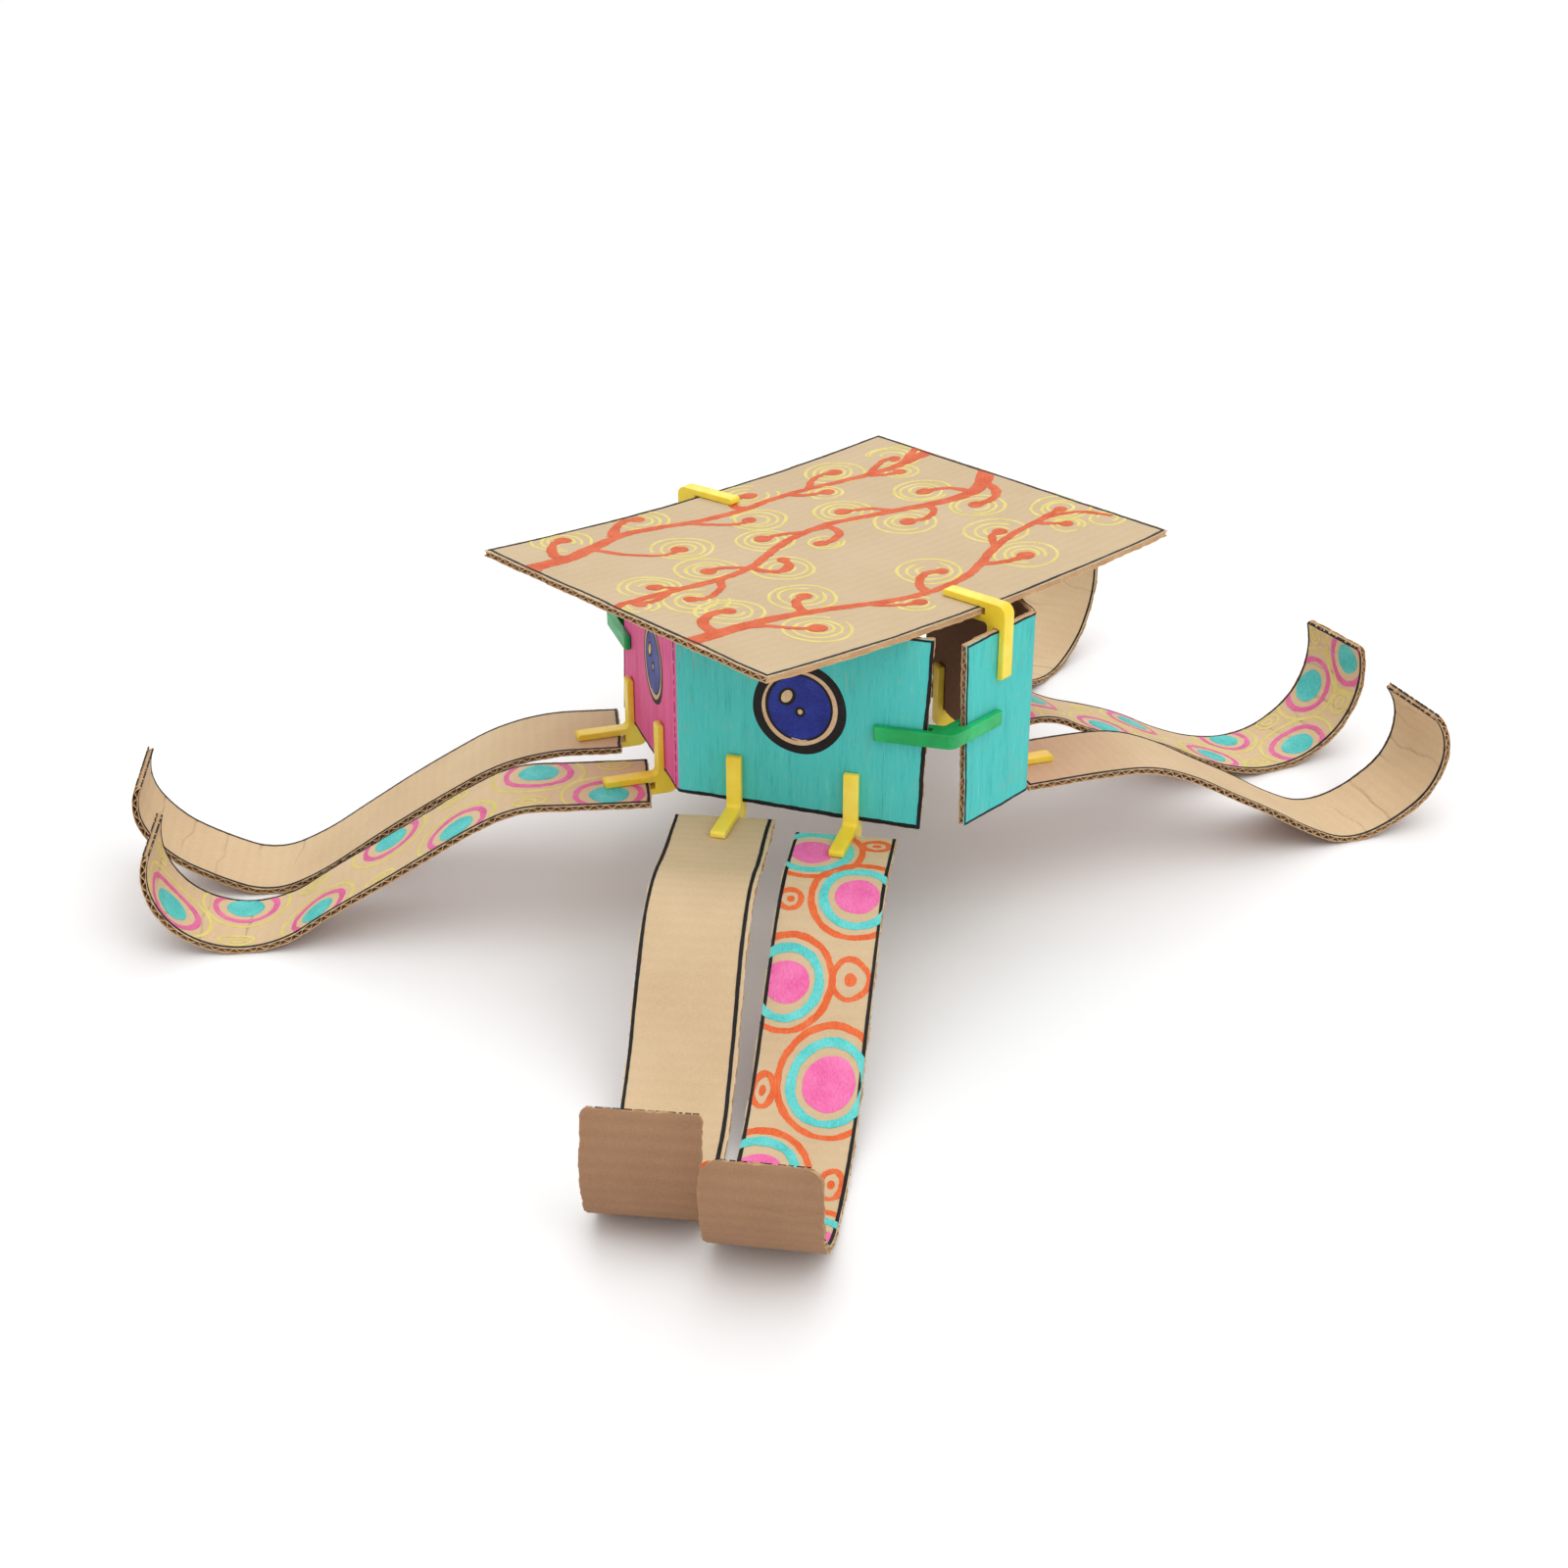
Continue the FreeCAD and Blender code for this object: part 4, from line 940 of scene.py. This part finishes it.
# ------------------------------------------------------------ the strips
CREASES = {
    "front_plain": [(232, 0.05, 0.5, 0.8, 9), (252, -0.04, 0.9, 0.9, 11), (271, 0.03, 0.6, 0.8, 8), (289, -0.05, 0.8, 0.9, 10), (303, 0.02, 0.5, 0.8, 7)],
    "front_painted": [(196, -0.18, 0.8, 0.7, 14), (214, 0.05, 0.9, 0.7, 16), (246, -0.03, 0.7, 0.9, 9), (268, 0.04, 0.8, 0.9, 11), (289, 0.02, 0.7, 0.8, 9), (305, -0.04, 0.5, 0.8, 8)],
    "left_plain": [(196, 0.05, 0.8, 0.8, 10), (216, -0.06, 1.0, 0.8, 13), (238, 0.02, 0.7, 0.8, 9), (258, 0.06, 0.8, 0.8, 10), (277, -0.05, 0.9, 0.8, 9), (293, 0.03, 0.8, 0.8, 8)],
    "left_painted": [(203, -0.05, 0.7, 0.8, 12), (229, 0.10, 1.0, 0.8, 12), (252, -0.04, 0.9, 0.8, 10), (270, 0.12, 1.0, 0.8, 9), (287, -0.06, 0.9, 0.8, 10), (299, 0.03, 0.6, 0.8, 8)],
    "right_plain": [(36, 0.02, 0.5, 0.6, 20), (206, 0.10, 0.9, 0.8, 14), (229, -0.03, 0.8, 0.7, 10), (248, 0.16, 1.1, 0.8, 12), (270, 0.10, 0.9, 0.8, 10), (286, -0.05, 0.9, 0.9, 8), (299, 0.04, 0.9, 0.9, 8), (310, -0.03, 0.7, 0.8, 7)],
    "right_painted": [(226, 0.05, 0.8, 0.8, 12), (247, -0.05, 0.9, 0.8, 10), (263, 0.10, 1.0, 0.8, 10), (281, 0.06, 1.0, 0.8, 9), (296, -0.05, 0.9, 0.8, 8), (310, 0.03, 0.7, 0.8, 8)],
    "back_plain": [(150, 0.05, 0.5, 0.9, 12), (170, -0.05, 0.7, 0.9, 10), (184, 0.04, 0.8, 0.9, 9), (198, -0.03, 0.9, 0.9, 11), (211, 0.05, 0.9, 0.9, 9), (224, -0.04, 1.0, 0.9, 8), (237, 0.03, 1.0, 0.9, 10), (251, -0.05, 0.9, 0.9, 9), (265, 0.04, 0.9, 0.9, 8), (280, -0.02, 0.8, 0.9, 9), (296, 0.03, 0.7, 0.9, 8)],
    "back_painted": [(176, 0.05, 0.7, 0.9, 12), (201, -0.05, 0.8, 0.9, 10), (226, 0.04, 0.9, 0.9, 9), (251, -0.03, 0.9, 0.9, 11), (272, 0.05, 0.9, 0.9, 9), (292, -0.04, 0.8, 0.9, 8)],
}
TIP_R = {"front_plain": 3.0, "front_painted": 9.0, "left_plain": 3.0, "left_painted": 4.0, "right_plain": 3.0, "right_painted": 4.0, "back_plain": 4.0, "back_painted": 4.0}
charts = {}
for k, name in enumerate(STRIPS):
    chart = Strip(name)
    charts[name] = chart
    L = chart.length
    bow = wobble(60 + k, [(150, 0.35), (61, 0.25)])

    def half_width(s, L=L, r=TIP_R[name]):
        d = np.clip(s - (L - r), 0, r)
        return STRIP_W / 2 - (r - np.sqrt(np.maximum(r * r - d * d, 0))) * 0.9

    def smap(p, q, L=L, hw=half_width):
        s = p * L
        return s, (q * 2 - 1) * hw(s)

    ob = board("strip_" + name, chart, smap, int(L / 1.15), 35, "s", [M_STRIP, M_UNDER_SHADED, M_EDGE, M_FLUTE], creases=CREASES[name], seed=100 + k,
               ruled=4, ripple=(0.03, 0.06))
    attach(ob, "arm_" + name)
    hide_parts("tentacle_" + name)

    def keep_in(V, L=L, hw=half_width):
        s = np.clip(V[:, 0], 0.9, L - 0.9)
        h = hw(s) - 0.7
        return np.stack([s, np.clip(V[:, 1], -h, h)], -1)

    # marker lines along both edges and across the clip end
    wide = 1.8 if name.startswith("front") else 1.5
    near = -1 if name.startswith("right") else 1
    shapes = []
    for sg in (-1, 1):
        wl = wide * (1.0 if sg == near or name.startswith("front") else 0.8)
        inset = 2.9 if (name == "front_plain" and sg == 1) else 1.4
        a, b = (1.0, sg * (STRIP_W / 2 - inset)), (L - 1.5, sg * (STRIP_W / 2 - inset))
        shapes.append(ribbon(line_pts(a, b, 1200 + 2 * k + sg, 0.14, 20), [wl * u for u in (0.95, 1.05, 0.92, 1.08, 0.95, 1.05, 0.98, 1.05, 0.92)], 1200 + 2 * k + sg, 0.05))
    if name != "front_painted" and name != "front_plain":
        shapes.append(ribbon(line_pts((1.5, -STRIP_W / 2 + 1), (1.5, STRIP_W / 2 - 1), 1230 + k, 0.3), [1.4, 1.8, 1.3, 1.6], 1230 + k, 0.12))
    shapes.append(ribbon(line_pts((L - 1.4, -half_width(L - 1.4) + 1), (L - 1.4, half_width(L - 1.4) - 1), 1250 + k, 0.25), [0.9, 1.2, 0.8, 1.1], 1250 + k, 0.12))
    paint("outline_" + name, chart, shapes, 3, M_BLACK, "arm_" + name, keep_in)
    # the cut end at the tip was inked too: short dark dabs over the top liner's edge, and over both liners' edges on
    # left_plain, left_painted and right_plain
    if True:
        r = random.Random(1300 + k)
        dabs, y = [], -half_width(L - 0.5) + 1.0
        end = half_width(L - 0.5) - 1.0
        while y < end:
            wd = r.uniform(1.2, 5.0)
            dabs.append((y, min(y + wd, end)))
            y += wd + r.uniform(0.3, 2.4)
        b = Build()
        for y0, y1 in dabs:
            n_ = max(2, int((y1 - y0) / 0.7))
            tt = np.linspace(y0, y1, n_ + 1)
            jag = wobble(int(y0 * 10) + k, [(3, 0.25), (1.6, 0.2)])
            for h0, h1 in (((-0.10, 0.30),) if name.startswith("front") else ((-0.10, 0.75), (BOARD - 0.8, BOARD + 0.02)) if name in ("left_plain", "left_painted", "right_plain") else ((-0.10, 0.5),)):
                hh = np.array([h0, (h0 + h1) / 2, h1])
                T, H = np.meshgrid(tt, hh, indexing="ij")
                s_out = L - 0.05 + 0.12 * np.abs(jag(T)) - 0.0 * H
                s_in = np.full_like(T, L - 1.3)
                H2 = H + 0.12 * jag(T + 9)
                H2 = np.clip(H2, -0.12, BOARD + 0.05)
                A, B = chart.pos(s_out, T, H2), chart.pos(s_in, T, H2)
                st = np.stack([s_out, T, H2], -1)
                z0 = np.zeros_like(T)
                b.slab(A, B, st, st, z0, z0, 0, 0, 0)
        ob = b.done("tip_ink_" + name, [M_BLACK], 50)
        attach(ob, "arm_" + name)

# ------------------------------------------------------------ painted spots
def discs(name, chart, centres, scale_s, core, mid, far, small, small_mat, body, L, hw, widths, seed, small_blob=True):
    """Discs with two rings round them, and small ovals between."""
    def keep_in(V):
        s = np.clip(V[:, 0], 1.2, L - 1.2)
        h = STRIP_W / 2 - 1.0
        return np.stack([s, np.clip(V[:, 1], -h, h)], -1)
    core_s, mid_s, far_s = [], [], []
    for k, c_ in enumerate(centres):
        s, t, g, rt, cs, ct = tuple(c_) + (1.0, 1.0, 1.0)[len(c_) - 3:]
        r0, r1, r2 = widths["r"]
        core_s.append(blob((s, t), r0 * g * scale_s * cs, r0 * g * ct, seed + k, 0.05))
        mid_s.append(ring((s, t), r1 * g * scale_s, r1 * g * rt, widths["mid"], seed + 20 + k, 0, 360, 0.10, 0.03))
        far_s.append(ring((s, t), r2 * g * scale_s, r2 * g * rt, widths["far"], seed + 40 + k, 0, 360, 0.10, 0.03))
    paint(name + "_outer_rings", chart, far_s, 0, far, body, keep_in)
    paint(name + "_inner_rings", chart, mid_s, 4 if name == "art_front" else 1, mid, body, (lambda V: np.stack([np.clip(V[:, 0], 1.2, L - 1.2), np.clip(V[:, 1], -STRIP_W / 2 + 0.75, STRIP_W / 2 - 0.75)], -1)) if name == "art_front" else keep_in)
    paint(name + "_discs", chart, core_s, 2, core, body, keep_in)
    if small:
        out, dots = [], []
        for k, (s, t, a, b_) in enumerate(small):
            out.append(ring((s, t), a, b_, widths["small"], seed + 60 + k, 0, 360, 0.12, 0.08))
            if small_blob:
                dots.append(blob((s, t), a * 0.32, b_ * 0.36, seed + 80 + k, 0.1))
            else:
                dots.append(ring((s, t), a * 0.45, b_ * 0.42, widths["small"] * 0.8, seed + 80 + k, 0, 360, 0.12, 0.08))
        paint(name + "_small_rings", chart, out, 1, small_mat, body, keep_in)
        paint(name + "_dots", chart, dots, 1, small_mat, body, keep_in)


c = charts["front_painted"]
discs("art_front", c, [(20, -14.0, 1.0, 1.04), (54.5, 12.5, 1.0, 0.96), (103.5, -15.5, 1.02, 0.88), (151.5, 10.0, 1.18, 0.83, 1.12, 0.95), (203, -15.0, 1.05, 0.92), (252, 15.0, 1.05, 0.9), (298, -12.0, 1.0, 0.9)],
      1.02, M_MAGENTA, M_CYAN, M_ORANGE,
      [(10, 16.5, 4.6, 6.4), (59, -19.0, 5.8, 5.2), (99.5, 14.2, 10.4, 8.2), (157.5, -19.6, 8.6, 4.4), (207.5, 18.0, 9.6, 4.8), (250, -18, 8.0, 5.0)], M_ORANGE,
      "arm_front_painted", c.length, None, {"r": (10.6, 17.2, 23.6), "mid": 4.3, "far": 3.3, "small": 2.8}, 2000)
w_cool = {"r": (8.4, 13.6, 19.4), "mid": 3.2, "far": 1.9, "small": 1.6}
c = charts["left_painted"]
discs("art_left", c, [(21.5, 14, 1.05), (57.5, -13.5, 1.05), (102.5, 15, 1.0), (145.5, -17, 1.0), (188, 15, 0.95), (232.5, -15.5, 1.0), (272, 9, 1.05)],
      1.18, M_CYAN_DEEP, M_MAGENTA_DEEP, M_PALE,
      [(62, 17.5, 8.5, 4.6), (105.5, -20, 8.5, 4.2), (149.5, 20, 8.5, 4.2), (194, -17, 9, 5), (233.5, 17.5, 9, 4.6), (291, -16, 7, 5), (17.5, -19, 8.5, 4.6)], M_PALE,
      "arm_left_painted", c.length, None, w_cool, 2200, False)
c = charts["right_painted"]
discs("art_right", c, [(22, -15, 1.0), (53, 6, 1.0), (93, -14, 1.0), (133, 9, 1.0), (184, -10, 1.0), (214.5, 17, 0.95), (247, -13.0, 1.05), (283, 13.5, 1.1), (311, -12, 1.0)],
      1.12, M_CYAN_DEEP, M_MAGENTA_DEEP, M_PALE,
      [(96, 14, 7, 5), (157, -15, 7, 4.6), (249, 18.5, 7.5, 5), (214, -17, 7.5, 4.6), (283.5, -15, 7.5, 6), (315, 18, 6, 4.2)], M_PALE,
      "arm_right_painted", c.length, None, w_cool, 2400, False)
c = charts["back_painted"]
discs("art_back", c, [(22, 14, 1.0), (62, -13, 1.0), (104, 14, 1.0), (147, -14, 1.0), (190, 13, 1.0), (232, -13, 1.0), (274, 12, 1.0)],
      1.12, M_MAGENTA, M_CYAN, M_ORANGE,
      [(20, -17, 7, 5), (64, 17, 7, 5), (105, -18, 7, 5), (148, 17, 7, 5), (191, -17, 7, 5), (233, 17, 7, 5)], M_ORANGE,
      "arm_back_painted", c.length, None, {"r": (8.4, 13.6, 19.4), "mid": 3.4, "far": 2.6, "small": 2.2}, 2600)

# ------------------------------------------------------------ clips
def clip_outline(turn, seat, reach):
    h, w = SLOT / 2 + PRONG, SLOT / 2
    phi = math.radians(180 - turn)
    d2, n2 = np.array([math.cos(phi), math.sin(phi)]), np.array([-math.sin(phi), math.cos(phi)])
    xo = -h * (1 + math.cos(phi)) / math.sin(phi)
    xi = -xo
    pts = [((xo, -h), 5.2), ((reach, -h), 1.6), ((reach, -w), 0.7), ((seat, -w), 0.4), ((seat, w), 0.4), ((reach, w), 0.7), ((reach, h), 1.6), ((xi, h), 2.2)]
    pts += [(d2 * reach - n2 * h, 1.6), (d2 * reach - n2 * w, 0.7), (d2 * seat - n2 * w, 0.4), (d2 * seat + n2 * w, 0.4), (d2 * reach + n2 * w, 0.7), (d2 * reach + n2 * h, 1.6)]
    out = []
    n = len(pts)
    for i in range(n):
        p = np.array(pts[i][0], float)
        a, b = np.array(pts[i - 1][0], float), np.array(pts[(i + 1) % n][0], float)
        r = pts[i][1]
        u, v = (a - p) / np.linalg.norm(a - p), (b - p) / np.linalg.norm(b - p)
        ang = math.acos(float(np.clip(u @ v, -1, 1)))
        cut = min(r / math.tan(ang / 2), 0.47 * np.linalg.norm(a - p), 0.47 * np.linalg.norm(b - p))
        r = cut * math.tan(ang / 2)
        c = p + (u + v) / np.linalg.norm(u + v) * (r / math.sin(ang / 2))
        s, e = p + u * cut, p + v * cut
        a0, a1 = math.atan2(*(s - c)[::-1]), math.atan2(*(e - c)[::-1])
        da = (a1 - a0 + math.pi) % (2 * math.pi) - math.pi
        m = 8 if r > 2 else 4
        for k in range(m + 1):
            t = a0 + da * k / m
            out.append(c + r * np.array([math.cos(t), math.sin(t)]))
    return np.array(out)


def clip(name, node, body, mat, turn, seat, reach, origin, xdir, ydir):
    out = clip_outline(turn, seat, reach)
    bm = bmesh.new()
    lo_ = [bm.verts.new((x, y, -CLIP_W / 2)) for x, y in out]
    face = bm.faces.new(lo_)
    r = bmesh.ops.extrude_face_region(bm, geom=[face])
    top = [v for v in r["geom"] if isinstance(v, bmesh.types.BMVert)]
    bmesh.ops.translate(bm, verts=top, vec=(0, 0, CLIP_W))
    bmesh.ops.recalc_face_normals(bm, faces=bm.faces)
    rim = [e for e in bm.edges if abs(e.verts[0].co.z - e.verts[1].co.z) < 1e-6]
    bmesh.ops.bevel(bm, geom=rim, offset=0.55, segments=3, profile=0.6, affect="EDGES", clamp_overlap=True)
    bmesh.ops.triangulate(bm, faces=[f for f in bm.faces if len(f.verts) > 4])
    z = np.cross(xdir, ydir)
    M = np.stack([xdir, ydir, z], 1)
    for v in bm.verts:
        p = M @ np.array(v.co) + origin
        v.co = Vector((p + ORIGIN) * MM)
    bmesh.ops.recalc_face_normals(bm, faces=bm.faces)
    me = bpy.data.meshes.new(name)
    bm.to_mesh(me)
    bm.free()
    me.materials.append(mat)
    me.polygons.foreach_set("use_smooth", np.ones(len(me.polygons), bool))
    me.set_sharp_from_angle(angle=math.radians(50))
    ob = bpy.data.objects.new(name, me)
    bpy.context.scene.collection.objects.link(ob)
    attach(ob, body)
    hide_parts(node)
    return ob


def wall_low(wall, along):
    if wall == "left":
        return FRONT_BOTTOM_LEFT
    if wall == "front":
        slope = (FRONT_BOTTOM_RIGHT - FRONT_BOTTOM_LEFT) / LEN_FRONT
        return FRONT_BOTTOM_LEFT + slope * (along + CLIP_W / 2)
    return WALL_BOTTOM


for name in STRIPS:
    wall, along = STRIPS[name][0], STRIPS[name][1]
    s_, d_ = WALLS[wall]
    o = s_ + d_ * along + left_of(d_) * (BOARD / 2)
    o = np.array([o[0], o[1], wall_low(wall, along) - SEAT])
    clip("clip_" + name, "tentacle_clip_" + name, "clip_" + name, M_YCLIP, 90.0, SEAT, REACH, o, -left_of(d_), UP)
for name, wall, along in (("roof_clip_front", "side", 25.5), ("roof_clip_back", "back_left", 7.0)):
    s_, d_ = WALLS[wall]
    o = s_ + d_ * along + left_of(d_) * (BOARD / 2)
    o = np.array([o[0], o[1], WALL_TOP + SEAT])
    clip("press_" + name, name, "roof", M_YCLIP, 90.0, SEAT, REACH, o, left_of(d_), -UP)
for node, c_, din, dout in (("joint_clip_front", C1, dF, dS), ("joint_clip_back", C2, dR, dB), ("joint_clip_left", C0, dBL, dL)):
    a, b = left_of(din) * (BOARD / 2), left_of(dout) * (BOARD / 2)
    det = -din[0] * dout[1] + din[1] * dout[0]
    r_ = b - a
    t2 = (-r_[0] * dout[1] + r_[1] * dout[0]) / det
    o = c_ + a + din * t2
    o = np.array([o[0], o[1], GREEN_Z])
    turn = math.degrees(math.acos(float(din @ dout)))
    x = -din
    y = np.cross(-UP, x)
    clip("corner_" + node, node, "head", M_GCLIP, turn, GREEN_SEAT, GREEN_REACH, o, x, y)

# ------------------------------------------------------------ floor, light, camera
bpy.ops.mesh.primitive_plane_add(size=14, location=(0, 2.0, -0.0004))
floor = bpy.context.object
floor.name = "floor"
n = Nodes("pale_floor")
f_ = n.noise(n.obj(), 3.0, 2, 0.5)
n.put(n.b.inputs["Base Color"], n.ramp(f_, [(0.3, srgb(246, 246, 246)), (0.7, srgb(250, 250, 250))]))
n.b.inputs["Roughness"].default_value = 0.9
n.b.inputs["Specular IOR Level"].default_value = 0.1
floor.data.materials.append(n.m)

world = bpy.data.worlds.new("studio")
world.use_nodes = True
bg = world.node_tree.nodes["Background"]
bg.inputs[0].default_value = (1.0, 1.0, 1.0, 1.0)
bg.inputs[1].default_value = 0.60
bpy.context.scene.world = world


def area(name, loc, target, size, power):
    d = bpy.data.lights.new(name, "AREA")
    d.shape = "SQUARE"
    d.size = size
    d.energy = power
    o = bpy.data.objects.new(name, d)
    bpy.context.scene.collection.objects.link(o)
    o.location = loc
    o.rotation_euler = (Vector(target) - Vector(loc)).to_track_quat("-Z", "Y").to_euler()
    return o


area("overhead", (0.15, -0.3, 2.6), (0.05, -0.2, 0.0), 3.2, 35.0)
area("sweep", (0.0, 3.9, 2.3), (0, 3.0, 0.0), 3.6, 56.0)
area("key", (1.25, -1.35, 1.6), (0, 0, 0.1), 1.4, 11.0)
area("fill", (-1.3, -1.4, 1.3), (0, 0, 0.1), 1.6, 4.5)

cam_d = bpy.data.cameras.new("camera")
cam_d.lens = 51.525
cam_d.sensor_width = 36.0
cam_d.clip_end = 50
cam = bpy.data.objects.new("camera", cam_d)
bpy.context.scene.collection.objects.link(cam)
cam.location = ((ORIGIN[0] - 23.5) * MM, (ORIGIN[1] - 1083.7) * MM, 0.593)
cam.rotation_euler = (math.radians(90 - 26.7), 0, 0)
bpy.context.scene.camera = cam
bpy.context.scene.view_settings.view_transform = "Standard"

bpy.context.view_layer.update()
